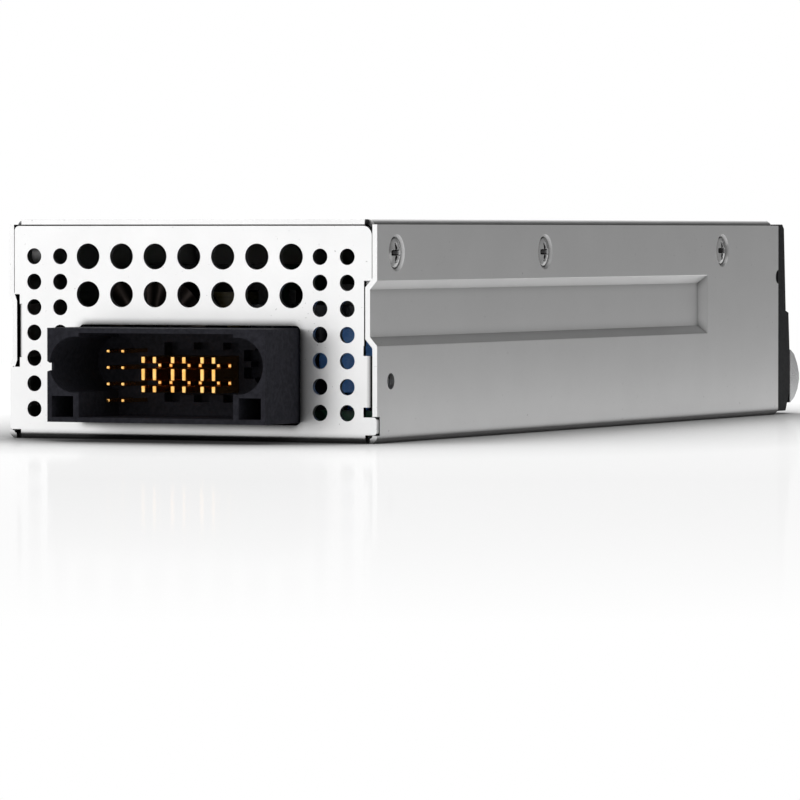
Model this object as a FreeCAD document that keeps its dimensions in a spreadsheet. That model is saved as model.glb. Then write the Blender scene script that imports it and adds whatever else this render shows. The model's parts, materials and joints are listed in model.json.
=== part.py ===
"""Hot swap server power supply with a folded steel case, as a parametric FreeCAD document.

X runs across the case, Y from the output end (-Y) to the bezel end (+Y) and Z up. The origin
is the centre of the case's underside. All lengths are in millimetres.
"""
import FreeCAD, Part
import math
import os
import Sketcher

V = FreeCAD.Vector
doc = FreeCAD.newDocument("hot_swap_power_supply")
sheet_of_sizes = doc.addObject("Spreadsheet::Sheet", "Sizes")


class Size:
    """A length that knows both its spreadsheet expression and its present value."""

    def __init__(self, text, value):
        self.text = text
        self.value = float(value)

    def __add__(self, other):
        other = as_size(other)
        return Size("(%s + %s)" % (self.text, other.text), self.value + other.value)

    def __sub__(self, other):
        other = as_size(other)
        return Size("(%s - %s)" % (self.text, other.text), self.value - other.value)

    def __mul__(self, other):
        other = as_size(other)
        return Size("(%s * %s)" % (self.text, other.text), self.value * other.value)

    def __truediv__(self, other):
        other = as_size(other)
        return Size("(%s / %s)" % (self.text, other.text), self.value / other.value)

    def __neg__(self):
        return Size("(0 - %s)" % self.text, -self.value)

    def __radd__(self, other):
        return as_size(other) + self

    def __rsub__(self, other):
        return as_size(other) - self

    def __rmul__(self, other):
        return as_size(other) * self


def as_size(value):
    return value if isinstance(value, Size) else Size("(%r)" % value, value)


def whole(amount):
    """The whole number just below an amount, such as how many holes fit a length."""
    return Size("floor(%s)" % amount.text, math.floor(amount.value + 1e-9))


def size(word, value):
    """Put a driving size in the sheet under its alias."""
    size.row += 1
    cell = "A%d" % size.row
    sheet_of_sizes.set(cell, str(value))
    sheet_of_sizes.setAlias(cell, word)
    return Size("Sizes." + word, value)


size.row = 0

# Case
steel = size("steel_thickness", 0.8)
wall_bend = size("wall_bend_radius", 1.2)
plate_bend = size("plate_bend_radius", 1.0)
fit = size("sheet_fit_gap", 0.1)
lid_gap = size("lid_to_plate_gap", 0.2)
flange_gap = size("lid_flange_gap", 0.472)
lid_corner = size("lid_corner_cut", 2.1)

# Guide channels pressed into the side walls
channel_depth = size("channel_depth", 1.2)
left_channel_depth = size("left_channel_depth", 0.5)
channel_slope = size("channel_slope", 1.35)
channel_end_gap = size("channel_end_gap", 1.4)
channel_spread = size("channel_spread", 0.328)
right_channel_drop = size("right_channel_drop", 9.3)
right_channel_height = size("right_channel_height", 9.9)
left_channel_drop = size("left_channel_drop", 11.6)
left_channel_height = size("left_channel_height", 11.3)

# Lid screws and their dimples
screw_edge = size("lid_screw_edge", 0.6)
screw_first = size("lid_screw_first", 6.9)
screw_second = size("lid_screw_second", 62.2)
screw_third = size("lid_screw_third_setback", 25.7)
dimple_radius = size("dimple_radius", 2.8)
dimple_depth = size("dimple_depth", 1.25)
head_radius = size("screw_head_radius", 2.45)
head_sink = size("screw_head_sink", 0.3)
shank_radius = size("screw_shank_radius", 1.2)
shank_length = size("screw_shank_length", 1.6)
thread_clearance = size("thread_clearance", 0.05)

# Output plate
small_hole = size("small_hole_radius", 1.25)
small_pitch_up = size("small_hole_pitch_up", 3.95)
small_pitch_across = size("small_hole_pitch_across", 4.6)
small_low = size("small_hole_low", 4.6)
small_edge = size("small_hole_edge", 4.0)
big_hole = size("big_hole_radius", 2.0)
big_pitch = size("big_hole_pitch", 5.85)
big_drop = size("big_hole_drop", 5.85)
relief_width = size("relief_notch_width", 1.5)
relief_depth = size("relief_notch_depth", 1.4)
left_relief = size("left_relief_depth", 0.4)
tab_length = size("folded_tab_length", 9.0)
right_tab_low = size("right_tab_low", 5.5)
ear_low = size("ear_low", 1.3)
ear_high = size("ear_high", 4.0)
plate_shift = size("plate_pattern_shift", -0.33)
side_hole = size("side_hole_radius", 1.25)
side_hole_in = size("side_hole_setback", 4.8)

# Output connector
header_width = size("header_width", 37.4)
header_low = size("header_low", 3.0)
header_high = size("header_high", 17.4)
header_front = size("header_protrusion", 11.0)
window_gap = size("header_window_gap", 0.38)

# Bay end of the chassis: openings for the fan, the inlet and the latch
fan_size = size("fan_size", 30.0)
fan_depth = size("fan_depth", 15.0)
fan_wall = size("fan_duct_wall", 1.0)
fan_gap = size("fan_side_gap", 1.2)
fan_room = size("fan_room_over_and_under", 1.2)
inlet_width = size("inlet_width", 26.3)
inlet_height = size("inlet_body_height", 19.4)
inlet_depth = size("inlet_depth", 22.0)
inlet_gap = size("inlet_to_fan_gap", 0.3)
inlet_space = size("inlet_to_latch_space", 2.6)
inlet_mouth_width = size("inlet_mouth_width", 24.3)
inlet_mouth_height = size("inlet_mouth_height", 16.4)
inlet_mouth_depth = size("inlet_mouth_depth", 16.5)
notch_radius = size("snap_notch_radius", 1.2)

# Release latch
latch_height = size("latch_height", 11.2)
latch_thick = size("latch_thickness", 1.2)
latch_wall_gap = size("latch_wall_gap", 0.3)
latch_pivot_back = size("latch_pivot_setback", 29.0)
latch_pivot_inset = size("latch_pivot_inset", 1.0)
tongue_out = size("tongue_reach", 1.6)
tongue_back = size("tongue_setback", 5.0)
tongue_length = size("tongue_length", 6.0)
tongue_height = size("tongue_height", 8.0)
latch_swing = size("latch_room", 3.0)
pin_clearance = size("pin_clearance", 0.05)

# Lid, bezel, handle and pins
snap_reach = size("snap_boss_reach", 0.5)
bezel_low = size("bezel_low", 0.6)
bezel_thin = size("bezel_thin", 2.9)
bezel_bow = size("bezel_bow", 0.9)
bezel_step = size("bezel_step", 1.3)
bezel_belly = size("bezel_belly", 0.7)
step_up = size("bezel_step_height", 18.2)
grille_bar = size("grille_bar", 1.4)
grille_gap = size("grille_gap", 2.4)
lug_thick = size("handle_lug_thickness", 2.4)
lug_radius = size("handle_lug_radius", 2.4)
pivot_drop = size("handle_pivot_drop", 4.6)
pivot_out = size("handle_pivot_reach", 6.0)
arm_thick = size("handle_arm_thickness", 2.4)
arm_deep = size("handle_arm_depth", 2.9)
move_gap = size("moving_gap", 0.3)
bar_low = size("handle_bar_low", 1.9)
bar_high = size("handle_bar_high", 11.4)
bar_deep = size("handle_bar_depth", 4.2)
handle_width = size("handle_width", 30.6)
handle_pin = size("handle_pin_radius", 0.9)
lens_radius = size("lens_radius", 1.5)

lug_inset = size("handle_arm_inset", 2.2)
lens_inset = size("lens_inset", 2.6)
latch_tab = size("latch_tab_reach", 9.0)
barrel_radius = size("latch_barrel_radius", 2.0)
latch_pin_radius = size("latch_pin_radius", 1.0)
wire = size("spring_wire_radius", 0.25)
coil_room = size("spring_room", 2.2)

# Fan and inlet details
fan_strut = size("fan_strut", 2.0)
bearing_radius = size("bearing_radius", 2.6)
shaft_radius = size("shaft_radius", 1.0)
fan_hole = size("fan_corner_hole_radius", 1.6)
blade_count = size("fan_blade_count", 5)
tip_gap = size("fan_tip_gap", 0.5)
prong_thick = size("prong_thickness", 2.0)
prong_tall = size("prong_height", 4.0)
prong_spread = size("prong_spread", 7.0)
prong_drop = size("prong_drop", 2.0)
prong_long = size("prong_length", 13.0)

# Boards and what holds them
post_height = size("post_height", 2.4)
post_radius = size("post_radius", 2.4)
film = size("insulator_thickness", 0.4)
board_thick = size("board_thickness", 1.6)
board_gap = size("board_side_gap", 0.9)
board_screw = size("board_screw_radius", 1.45)
board_head = size("board_screw_head_radius", 2.6)
board_head_high = size("board_screw_head_height", 1.5)

# Power components
part_gap = size("part_gap", 0.3)
row_gap = size("row_gap", 3.5)
row_inset = size("row_inset", 0.9)
cap_radius = size("output_capacitor_radius", 4.0)
cap_high = size("output_capacitor_height", 16.0)
disc_radius = size("disc_capacitor_radius", 4.9)
disc_thick = size("disc_capacitor_thickness", 3.6)
cap_count = size("output_capacitor_count", 3)
disc_lift = size("disc_capacitor_lift", 2.7)
disc_leads = size("disc_capacitor_lead_pitch", 5.0)
disc_rise = size("second_disc_rise", 1.2)
winding = size("choke_winding_thickness", 1.4)
out_choke = size("output_choke_radius", 9.0)
out_choke_section = size("output_choke_section", 4.0)
core_width = size("transformer_width", 25.0)
core_long = size("transformer_length", 26.0)
core_high = size("transformer_height", 22.0)
core_deep = size("transformer_core_depth", 14.0)
core_leg = size("transformer_leg", 4.0)
core_middle = size("transformer_middle_leg", 7.0)
standby_long = size("standby_core_length", 14.0)
standby_high = size("standby_core_height", 15.0)
standby_deep = size("standby_core_depth", 7.0)
standby_leg = size("standby_core_leg", 2.5)
standby_middle = size("standby_middle_leg", 4.0)
sink_width = size("heatsink_width", 14.0)
sink_base = size("heatsink_base", 2.0)
sink_fin = size("heatsink_fin", 1.0)
sink_fins = size("heatsink_fin_count", 5)
sink_high = size("heatsink_height", 22.0)
bulk_radius = size("bulk_capacitor_radius", 11.0)
bulk_long = size("bulk_capacitor_length", 30.0)
pfc_radius = size("pfc_choke_radius", 10.5)
pfc_section = size("pfc_choke_section", 6.0)
row_bridge = size("bridge_row_length", 24.0)
emi_long = size("filter_row_length", 12.8)
emi_radius = size("filter_choke_radius", 9.5)
emi_section = size("filter_choke_section", 5.0)
transistor_width = size("transistor_width", 10.0)
transistor_high = size("transistor_height", 15.0)
transistor_thick = size("transistor_thickness", 4.5)
device_lift = size("device_lift", 4.0)
device_screw = size("device_screw_radius", 1.25)
bridge_width = size("bridge_rectifier_width", 20.0)
bridge_thick = size("bridge_rectifier_thickness", 3.6)
lead_side = size("lead_side", 0.7)
x_width = size("x_capacitor_width", 17.5)
x_high = size("x_capacitor_height", 15.0)
x_deep = size("x_capacitor_depth", 8.5)
fuse_radius = size("fuse_radius", 2.5)
fuse_cap = size("fuse_cap_length", 3.0)
clip_wall = size("fuse_clip_wall", 0.4)
card_thick = size("control_card_thickness", 1.2)
card_high = size("control_card_height", 22.0)
card_in = size("control_card_gap", 2.0)
chip = size("control_chip_side", 6.0)
chip_thick = size("control_chip_thickness", 1.2)
plug_wide = size("fan_plug_width", 7.5)
plug_deep = size("fan_plug_depth", 4.5)
plug_high = size("fan_plug_height", 6.0)
lead_wire = size("fan_lead_radius", 0.5)
lead_wires = size("fan_lead_count", 4)

# Output connector contacts
header_wall = size("header_wall", 0.75)
header_deep = size("header_cavity_depth", 13.0)
header_back = size("header_shoulder_depth", 6.0)
header_rear = size("header_rear_depth", 16.0)
header_rear_high = size("header_rear_height", 15.2)
guide_offset = size("guide_offset", 14.0)
guide_up = size("guide_height", 11.8)
guide_radius = size("guide_radius", 4.3)
guide_ring = size("guide_ring_wall", 0.5)
guide_deep = size("guide_socket_depth", 15.5)
recess_low = size("contact_recess_low", 7.0)
recess_high = size("contact_recess_high", 14.0)
recess_deep = size("contact_recess_depth", 2.5)
keyway = size("pair_keyway_height", 1.1)
keyway_wide = size("pair_keyway_width", 2.7)
ledge_window = size("ledge_window_height", 1.75)
ledge_rib = size("ledge_rib", 0.9)
pin_pitch = size("signal_pitch", 2.54)
pin_side = size("signal_pin_side", 0.64)
pin_low = size("signal_low", 6.2)
pin_first = size("signal_first", -11.1)
pin_reach = size("signal_pin_reach", 7.6)
blade_pitch = size("power_pitch", 5.08)
blade_pair = size("power_pair_spacing", 1.95)
blade_thick = size("power_blade_thickness", 0.7)
blade_first = size("power_first", -4.9)
blade_low = size("power_low", 7.45)
blade_high = size("power_high", 13.1)
blade_reach = size("power_blade_reach", 7.8)
slit = size("power_slit", 0.7)
finger = size("power_outer_finger", 1.15)

# The case is as wide, as high and as long as what it holds
row_lengths = [cap_radius * 2, core_long, bulk_long, row_bridge, emi_long]
latch_wide = inlet_space + latch_thick + latch_wall_gap
case_width = steel * 2 + fan_gap + fan_size + inlet_gap + inlet_width + latch_wide
case_height = steel * 2 + fan_room * 2 + fan_size
rows_reach = sum(row_lengths, row_gap * (len(row_lengths) + 1))
bay_depth = part_gap * 5 + inlet_depth + fit + steel
case_length = header_rear + part_gap + rows_reach + bay_depth

half = case_width / 2
out_end = -case_length / 2
bay_end = case_length / 2
inner_side = half - steel
top_under = case_height - steel
plate_top = top_under - lid_gap
right_channel_high = case_height - right_channel_drop
right_channel_low = right_channel_high - right_channel_height
left_channel_high = case_height - left_channel_drop
left_channel_low = left_channel_high - left_channel_height
flange_low = right_channel_high + channel_spread + flange_gap
screw_height = flange_low + dimple_radius + screw_edge
notch_up = flange_low - notch_radius - fit
right_tab_high = right_channel_low - relief_width
side_hole_up = (right_tab_low + right_tab_high) / 2
fan_up = case_height / 2
fan_right = inner_side - fan_gap
fan_left = fan_right - fan_size
fan_x = fan_right - fan_size / 2
fan_bore = fan_size / 2 - fan_wall
hub_radius = fan_size / 4
inlet_right = fan_left - inlet_gap
inlet_left = inlet_right - inlet_width
inlet_x = inlet_right - inlet_width / 2
inlet_up = fan_up
panel_in = bay_end - steel
latch_out = -(inner_side - latch_wall_gap)
latch_in = latch_out + latch_thick
latch_low = inlet_up - latch_height / 2
latch_high = inlet_up + latch_height / 2
pivot_x = latch_in + latch_pivot_inset
pivot_y = bay_end - latch_pivot_back
channel_end = pivot_y - barrel_radius - channel_end_gap
pivot_up = case_height - pivot_drop
bezel_high = case_height - bezel_low
board_under = steel + post_height
board_top = board_under + board_thick
bezel_face = bay_end + bezel_thin + bezel_bow
belly_face = bezel_face + bezel_step + bezel_belly
swing_y = bay_end + pivot_out
handle_right = half - fit
handle_left = handle_right - handle_width
header_x = plate_shift
lens_x = -half + lens_inset
board_side = inner_side - fit - steel - board_gap
board_back = out_end + header_back + part_gap
board_front = bay_end - steel - part_gap
fan_back = panel_in - fan_depth - fit
latch_clear = latch_in + latch_swing + part_gap
filter_left = latch_clear + part_gap
rows_start = out_end + header_rear + part_gap
row_left = row_inset - board_side
row_right = board_side - row_inset
sink_left = row_right - sink_width
standby_left = row_left + bulk_radius * 2 + part_gap
standby_width = sink_left - transistor_thick - device_screw - part_gap - standby_left


def row_start(index):
    """Where a row of components starts along the board."""
    return rows_start + sum(row_lengths[:index], as_size(0)) + row_gap * (index + 1)


def screw_places():
    """Where the three lid screws of a side stand."""
    return (out_end + screw_first, out_end + screw_second, bay_end - screw_third)


# ---------------------------------------------------------------- drawing helpers

NORMAL = {"XY_Plane": 1, "XZ_Plane": -1, "YZ_Plane": 1}


def bind(thing, place, amount):
    thing.setExpression(place, as_size(amount).text)


def new_body(name):
    made = doc.addObject("PartDesign::Body", name)
    made.Label = name
    return made


def sketch(on, role, level=0):
    """A sketch on one of the body's origin planes, moved along that plane's own axis."""
    plane = [each for each in on.Origin.OriginFeatures if each.Role == role][0]
    drawn = on.newObject("Sketcher::SketchObject", on.Name + "_sketch")
    drawn.AttachmentSupport = [(plane, "")]
    drawn.MapMode = "FlatFace"
    bind(drawn, "AttachmentOffset.Base.z", as_size(level) * NORMAL[role])
    return drawn


def fix_point(drawn, limits, geometry, end, across, up):
    """Tie a point of the sketch to its place, counted from the sketch's origin."""
    for kind, amount in (("DistanceX", across), ("DistanceY", up)):
        limits.append((Sketcher.Constraint(kind, -1, 1, geometry, end, amount.value), amount))


def add_limits(drawn, limits):
    places = drawn.addConstraint([rule for rule, amount in limits])
    for index, (rule, amount) in zip(places, limits):
        if amount is not None:
            bind(drawn, "Constraints[%d]" % index, amount)


def heading(start, end):
    """The axis direction from one corner to the next, where the edge lies along an axis."""
    across = as_size(end[0]).value - as_size(start[0]).value
    up = as_size(end[1]).value - as_size(start[1]).value
    if abs(across) > abs(up):
        return (int(math.copysign(1, across)), 0)
    return (0, int(math.copysign(1, up)))


def shifted(place, amount, sign):
    if sign == 0:
        return place
    return place + amount if sign > 0 else place - amount


def outline(drawn, corners):
    """A closed outline; a corner is (across, up), or (across, up, radius) where it is rounded."""
    points = []
    arcs = {}
    for index, corner in enumerate(corners):
        across, up = as_size(corner[0]), as_size(corner[1])
        if len(corner) == 2:
            points.append((across, up))
            continue
        radius = as_size(corner[2])
        come = heading(corners[index - 1], corner)
        go = heading(corner, corners[(index + 1) % len(corners)])
        first = (shifted(across, radius, -come[0]), shifted(up, radius, -come[1]))
        last = (shifted(across, radius, go[0]), shifted(up, radius, go[1]))
        centre = V(first[0].value + radius.value * go[0], first[1].value + radius.value * go[1], 0)
        arcs[len(points)] = (centre, radius, come[0] * go[1] - come[1] * go[0] > 0)
        points.extend([first, last])
    limits = []
    ends = []
    for index, start in enumerate(points):
        finish = points[(index + 1) % len(points)]
        low = V(start[0].value, start[1].value, 0)
        high = V(finish[0].value, finish[1].value, 0)
        if index in arcs:
            centre, radius, leftward = arcs[index]
            ends.append(add_arc(drawn, centre, radius.value, low, high, leftward))
            limits.append((Sketcher.Constraint("Radius", ends[-1][0], radius.value), radius))
        else:
            ends.append((drawn.addGeometry(Part.LineSegment(low, high), False), 1, 2))
        fix_point(drawn, limits, ends[-1][0], ends[-1][1], start[0], start[1])
    for index, (geometry, begin, stop) in enumerate(ends):
        after, first, last = ends[(index + 1) % len(ends)]
        limits.append((Sketcher.Constraint("Coincident", geometry, stop, after, first), None))
    add_limits(drawn, limits)


def add_arc(drawn, centre, radius, low, high, leftward):
    """A quarter arc from low to high; sketch arcs always run anticlockwise."""
    begin, stop = (low, high) if leftward else (high, low)
    first = math.atan2(begin.y - centre.y, begin.x - centre.x)
    last = math.atan2(stop.y - centre.y, stop.x - centre.x)
    if last < first:
        last += 2 * math.pi
    arc = Part.ArcOfCircle(Part.Circle(centre, V(0, 0, 1), radius), first, last)
    geometry = drawn.addGeometry(arc, False)
    return (geometry, 1, 2) if leftward else (geometry, 2, 1)


def rectangle(drawn, left, right, low, high, radius=None):
    corners = [(left, low), (right, low), (right, high), (left, high)]
    if radius is not None:
        corners = [corner + (radius,) for corner in corners]
    outline(drawn, corners)


def ring(drawn, across, up, radius):
    """A circle whose centre and radius are tied to sizes."""
    across, up, radius = as_size(across), as_size(up), as_size(radius)
    centre = V(across.value, up.value, 0)
    geometry = drawn.addGeometry(Part.Circle(centre, V(0, 0, 1), radius.value), False)
    limits = [(Sketcher.Constraint("Radius", geometry, radius.value), radius)]
    fix_point(drawn, limits, geometry, 3, across, up)
    add_limits(drawn, limits)


def volume(on):
    return on.Shape.Volume if on.Shape.Solids else 0.0


def settle(on, made, grows, before):
    """Recompute and make sure that the feature changed the solid the way it should."""
    doc.recompute()
    change = volume(on) - before
    if made.State and set(made.State) & {"Invalid", "Error"}:
        raise RuntimeError("%s of %s failed" % (made.Name, on.Label))
    if (change <= 1e-6) if grows else (change >= -1e-6):
        raise RuntimeError("%s of %s changed nothing" % (made.Name, on.Label))
    return made


def extrude(on, kind, drawn, length, towards, middle=False, taper=None):
    """Pad or Pocket a sketch by a length towards +1 or -1 along its plane's axis."""
    before = volume(on)
    made = on.newObject("PartDesign::" + kind, on.Name + "_" + kind.lower())
    made.Profile = drawn
    bind(made, "Length", length)
    along_normal = towards * NORMAL[drawn.AttachmentSupport[0][0].Role] > 0
    made.Reversed = along_normal if kind == "Pocket" else not along_normal
    if middle:
        made.SideType = "Symmetric"
    if taper is not None:
        bind(made, "TaperAngle", taper)
    drawn.Visibility = False
    return settle(on, made, kind == "Pad", before)


def pad(on, drawn, length, towards=1, middle=False, taper=None):
    return extrude(on, "Pad", drawn, length, towards, middle, taper)


def pocket(on, drawn, length, towards=1, middle=False, taper=None):
    return extrude(on, "Pocket", drawn, length, towards, middle, taper)


def loft(on, kind, first, second):
    before = volume(on)
    made = on.newObject("PartDesign::" + kind, on.Name + "_loft")
    made.Profile = first
    made.Sections = [second]
    made.Ruled = True
    return settle(on, made, kind == "AdditiveLoft", before)


def repeated(on, feature, role, length, count):
    """Repeat a feature in a straight row along one of the body's axes."""
    before = volume(on)
    axis = [each for each in on.Origin.OriginFeatures if each.Role == role][0]
    made = on.newObject("PartDesign::LinearPattern", on.Name + "_row")
    made.Originals = [feature]
    made.Direction = (axis, [""])
    bind(made, "Length", length)
    bind(made, "Occurrences", count)
    on.Tip = made
    return settle(on, made, feature.TypeId.endswith("Pad"), before)


# ---------------------------------------------------------------- folded steel case

def channel(on, side, low, high, depth):
    """Press a channel into a side wall: a bump inside, then the channel itself outside."""
    spread = channel_spread
    wall_in = (half - steel) * side
    bump_in = (half - steel - depth) * side
    floor_in = (half - depth) * side
    reach = channel_end
    rise = channel_slope
    wide = sketch(on, "YZ_Plane", wall_in)
    rectangle(wide, out_end, reach + spread, low - spread, high + spread)
    narrow = sketch(on, "YZ_Plane", bump_in)
    rectangle(narrow, out_end, reach - rise + spread, low + rise - spread, high - rise + spread)
    loft(on, "AdditiveLoft", wide, narrow)
    mouth = sketch(on, "YZ_Plane", half * side)
    rectangle(mouth, out_end, reach, low, high)
    floor = sketch(on, "YZ_Plane", floor_in)
    rectangle(floor, out_end, reach - rise, low + rise, high - rise)
    loft(on, "SubtractiveLoft", mouth, floor)


def dimples(on, side, face, hole):
    """Three conical dimples for the lid screws, pressed inward from a sheet's outer face."""
    bump = sketch(on, "YZ_Plane", (face - steel) * side)
    cone = sketch(on, "YZ_Plane", face * side)
    bore = sketch(on, "YZ_Plane", face * side)
    for place in screw_places():
        ring(bump, place, screw_height, dimple_radius)
        ring(cone, place, screw_height, dimple_radius)
        ring(bore, place, screw_height, hole)
    pad(on, bump, dimple_depth, -side, taper=-45)
    pocket(on, cone, dimple_depth, -side, taper=-45)
    pocket(on, bore, steel + dimple_depth + steel, -side)


def bottom_fold(on, end, inward):
    """The quarter bend that joins an upright end plate to the floor."""
    reach = plate_bend + steel
    profile = sketch(on, "YZ_Plane")
    inner = plate_bend - steel
    corners = [
        (end, reach), (end, 0, plate_bend), (end + reach * inward, 0), (end + reach * inward, steel),
        (end + steel * inward, steel, inner), (end + steel * inward, reach)]
    outline(profile, corners)
    pad(on, profile, (half - lid_corner + fit) * 2, middle=True)


def clear_floor_end(on, end, inward):
    """Take the flat floor away where the end plate's bend replaces it."""
    room = sketch(on, "XY_Plane")
    span = half - wall_bend
    edge = end + plate_bend * inward
    low, high = (end, edge) if inward > 0 else (edge, end)
    rectangle(room, -span, span, low, high)
    pocket(on, room, steel, 1)


def make_output_plate():
    """The perforated plate: ears over the wall edges, relief notches and folded tabs."""
    on = new_body("output_plate")
    edge = inner_side - fit
    notch = edge - relief_depth
    ear = half - fit
    foot = half - lid_corner + fit
    step = channel_depth + fit
    right_tab = edge - plate_bend
    left_in = edge - left_channel_depth
    left_tab = left_in - plate_bend
    left_cut = left_relief - left_in
    outline_plate = sketch(on, "XZ_Plane", out_end)
    outline(outline_plate, [
        (foot, plate_bend), (foot, ear_low), (ear, ear_low, relief_width / 3),
        (ear, ear_high, relief_width / 3), (notch, ear_high), (notch, right_tab_low),
        (right_tab, right_tab_low), (right_tab, right_tab_high), (notch, right_tab_high),
        (notch, right_channel_low), (edge - step, right_channel_low),
        (edge - step, right_channel_high), (edge, right_channel_high),
        (edge, plate_top, relief_width), (-edge, plate_top, relief_width / 2),
        (-edge, left_channel_high), (left_cut, left_channel_high),
        (left_cut, left_channel_high - relief_width),
        (-left_tab, left_channel_high - relief_width), (-left_tab, left_channel_low + relief_width),
        (left_cut, left_channel_low + relief_width),
        (left_cut, left_channel_low), (-ear, left_channel_low, relief_width / 3),
        (-ear, ear_low + fit, relief_width / 3), (-foot, ear_low + fit), (-foot, plate_bend)])
    pad(on, outline_plate, steel, 1)
    bottom_fold(on, out_end, 1)
    folded_tab(on, 1, edge, right_tab_low, right_tab_high)
    folded_tab(on, -1, left_in, left_channel_low + relief_width, left_channel_high - relief_width)
    tapped_hole(on, edge)
    vent_holes(on)
    connector_window(on)
    return on


def folded_tab(on, side, face, low, high):
    """A tab folded back from the output plate along the inside of a wall."""
    tab = sketch(on, "XY_Plane", low)
    root = (face - plate_bend - steel) * side
    inner = plate_bend - steel
    corners = [
        (root, out_end), (face * side, out_end, plate_bend), (face * side, out_end + tab_length),
        ((face - steel) * side, out_end + tab_length), ((face - steel) * side, out_end + steel, inner),
        (root, out_end + steel)]
    outline(tab, corners)
    pad(on, tab, high - low, 1)


def vent_holes(on):
    """Two rows of large holes over the connector and pairs of columns of small ones."""
    rise = plate_top - small_edge - small_low
    rows = whole(rise / small_pitch_up) + 1
    column = inner_side - small_edge + fit
    for place in (plate_shift - column, plate_shift - column + small_pitch_across,
                  plate_shift + column - small_pitch_across, plate_shift + column):
        drawn = sketch(on, "XZ_Plane", out_end)
        ring(drawn, place, small_low, small_hole)
        hole = pocket(on, drawn, steel, 1)
        repeated(on, hole, "Z_Axis", (rows - 1) * small_pitch_up, rows)
    room = (column - small_pitch_across - small_hole - big_hole) * 2
    count = whole(room / big_pitch) + 1
    start = plate_shift - (count - 1) * big_pitch / 2
    top_row = small_low + (rows - 1) * small_pitch_up
    for height in (top_row, top_row - big_drop):
        drawn = sketch(on, "XZ_Plane", out_end)
        ring(drawn, start, height, big_hole)
        hole = pocket(on, drawn, steel, 1)
        repeated(on, hole, "X_Axis", (count - 1) * big_pitch, count)


def make_bay_panel():
    """The upright panel behind the bezel, with openings for the fan, the inlet and the latch."""
    on = new_body("bay_panel")
    edge = inner_side - fit
    foot = half - lid_corner + fit
    plate = sketch(on, "XZ_Plane", panel_in)
    outline(plate, [
        (foot, plate_bend), (foot, ear_high), (edge, ear_high),
        (edge, notch_up - notch_radius * 2), (edge - relief_depth, notch_up - notch_radius * 2),
        (edge - relief_depth, notch_up + notch_radius * 2), (edge, notch_up + notch_radius * 2),
        (edge, plate_top, relief_width), (-edge, plate_top, relief_width),
        (-edge, notch_up + notch_radius * 2), (relief_depth - edge, notch_up + notch_radius * 2),
        (relief_depth - edge, latch_high + fit * 5), (inlet_left - fit, latch_high + fit * 5),
        (inlet_left - fit, latch_low - fit * 5), (-edge, latch_low - fit * 5),
        (-edge, ear_high), (-foot, ear_high), (-foot, plate_bend)])
    pad(on, plate, steel, 1)
    bottom_fold(on, bay_end, -1)
    openings = sketch(on, "XZ_Plane", panel_in)
    ring(openings, fan_x, fan_up, fan_bore)
    rectangle(openings, inlet_x - inlet_mouth_width / 2, inlet_x + inlet_mouth_width / 2,
              inlet_up - inlet_mouth_height / 2, inlet_up + inlet_mouth_height / 2)
    pocket(on, openings, steel, 1)
    return on


def tapped_hole(on, face):
    """The tapped hole through the right wall and the folded tab behind it."""
    tapped = sketch(on, "YZ_Plane", face)
    ring(tapped, out_end + side_hole_in, side_hole_up, side_hole)
    pocket(on, tapped, steel, -1)


def connector_window(on):
    """The opening that the output connector's housing stands in."""
    drawn = sketch(on, "XZ_Plane", out_end)
    reach = header_width / 2 + window_gap
    rectangle(drawn, plate_shift - reach, plate_shift + reach, header_low - window_gap,
              header_high + window_gap, window_gap * 2)
    pocket(on, drawn, steel, 1)


def side_openings(on):
    """Notches for the bezel's snap bosses and the window that the latch's tongue leaves by."""
    for side in (1, -1):
        notches = sketch(on, "YZ_Plane", half * side)
        ring(notches, bay_end, notch_up, notch_radius)
        pocket(on, notches, steel, -side)
    window = sketch(on, "YZ_Plane", -half)
    middle = bay_end - tongue_back - tongue_length / 2
    reach = tongue_length / 2 + 1
    rise = tongue_height / 2 + fit * 5
    rectangle(window, middle - reach, middle + reach, inlet_up - rise, inlet_up + rise)
    pocket(on, window, steel, 1)


def ear_room(on):
    """Set the walls' front edges back where the output plate's ears lie over them."""
    for side, high in ((1, ear_high), (-1, left_channel_low)):
        room = sketch(on, "XZ_Plane", out_end)
        walls = sorted((half * side, inner_side * side), key=lambda each: each.value)
        rectangle(room, walls[0], walls[1], ear_low - fit, high + fit)
        pocket(on, room, steel + fit, 1)


def make_chassis():
    """Floor, both side walls, the output plate and the bay panel, folded from one sheet."""
    on = new_body("shell")
    section = sketch(on, "XZ_Plane", out_end)
    inner_bend = wall_bend - steel
    outline(section, [
        (-half, top_under), (-half, 0, wall_bend), (half, 0, wall_bend), (half, top_under),
        (inner_side, top_under), (inner_side, steel, inner_bend),
        (-inner_side, steel, inner_bend), (-inner_side, top_under)])
    pad(on, section, case_length, 1)
    clear_floor_end(on, out_end, 1)
    clear_floor_end(on, bay_end, -1)
    ear_room(on)
    side_openings(on)
    tapped_hole(on, half)
    for side, low, high, depth in (
            (1, right_channel_low, right_channel_high, channel_depth),
            (-1, left_channel_low, left_channel_high, left_channel_depth)):
        channel(on, side, low, high, depth)
        dimples(on, side, half, dimple_radius - dimple_depth + fit)
    return fused("chassis", [on, make_output_plate(), make_bay_panel()])


# ---------------------------------------------------------------- plain solids

def named(made, name):
    made.Label = name
    return made


def fused(name, pieces):
    made = doc.addObject("Part::MultiFuse", name)
    made.Shapes = pieces
    made.Refine = True
    return named(made, name)


def carved(name, base, tools):
    """Cut every tool out of the base."""
    tool = tools[0]
    if len(tools) > 1:
        tool = doc.addObject("Part::Compound", name + "_cuts")
        tool.Links = tools
    made = doc.addObject("Part::Cut", name)
    made.Base = base
    made.Tool = tool
    return named(made, name)


def group(name, pieces):
    made = doc.addObject("Part::Compound", name)
    made.Links = pieces
    return named(made, name)


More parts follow.
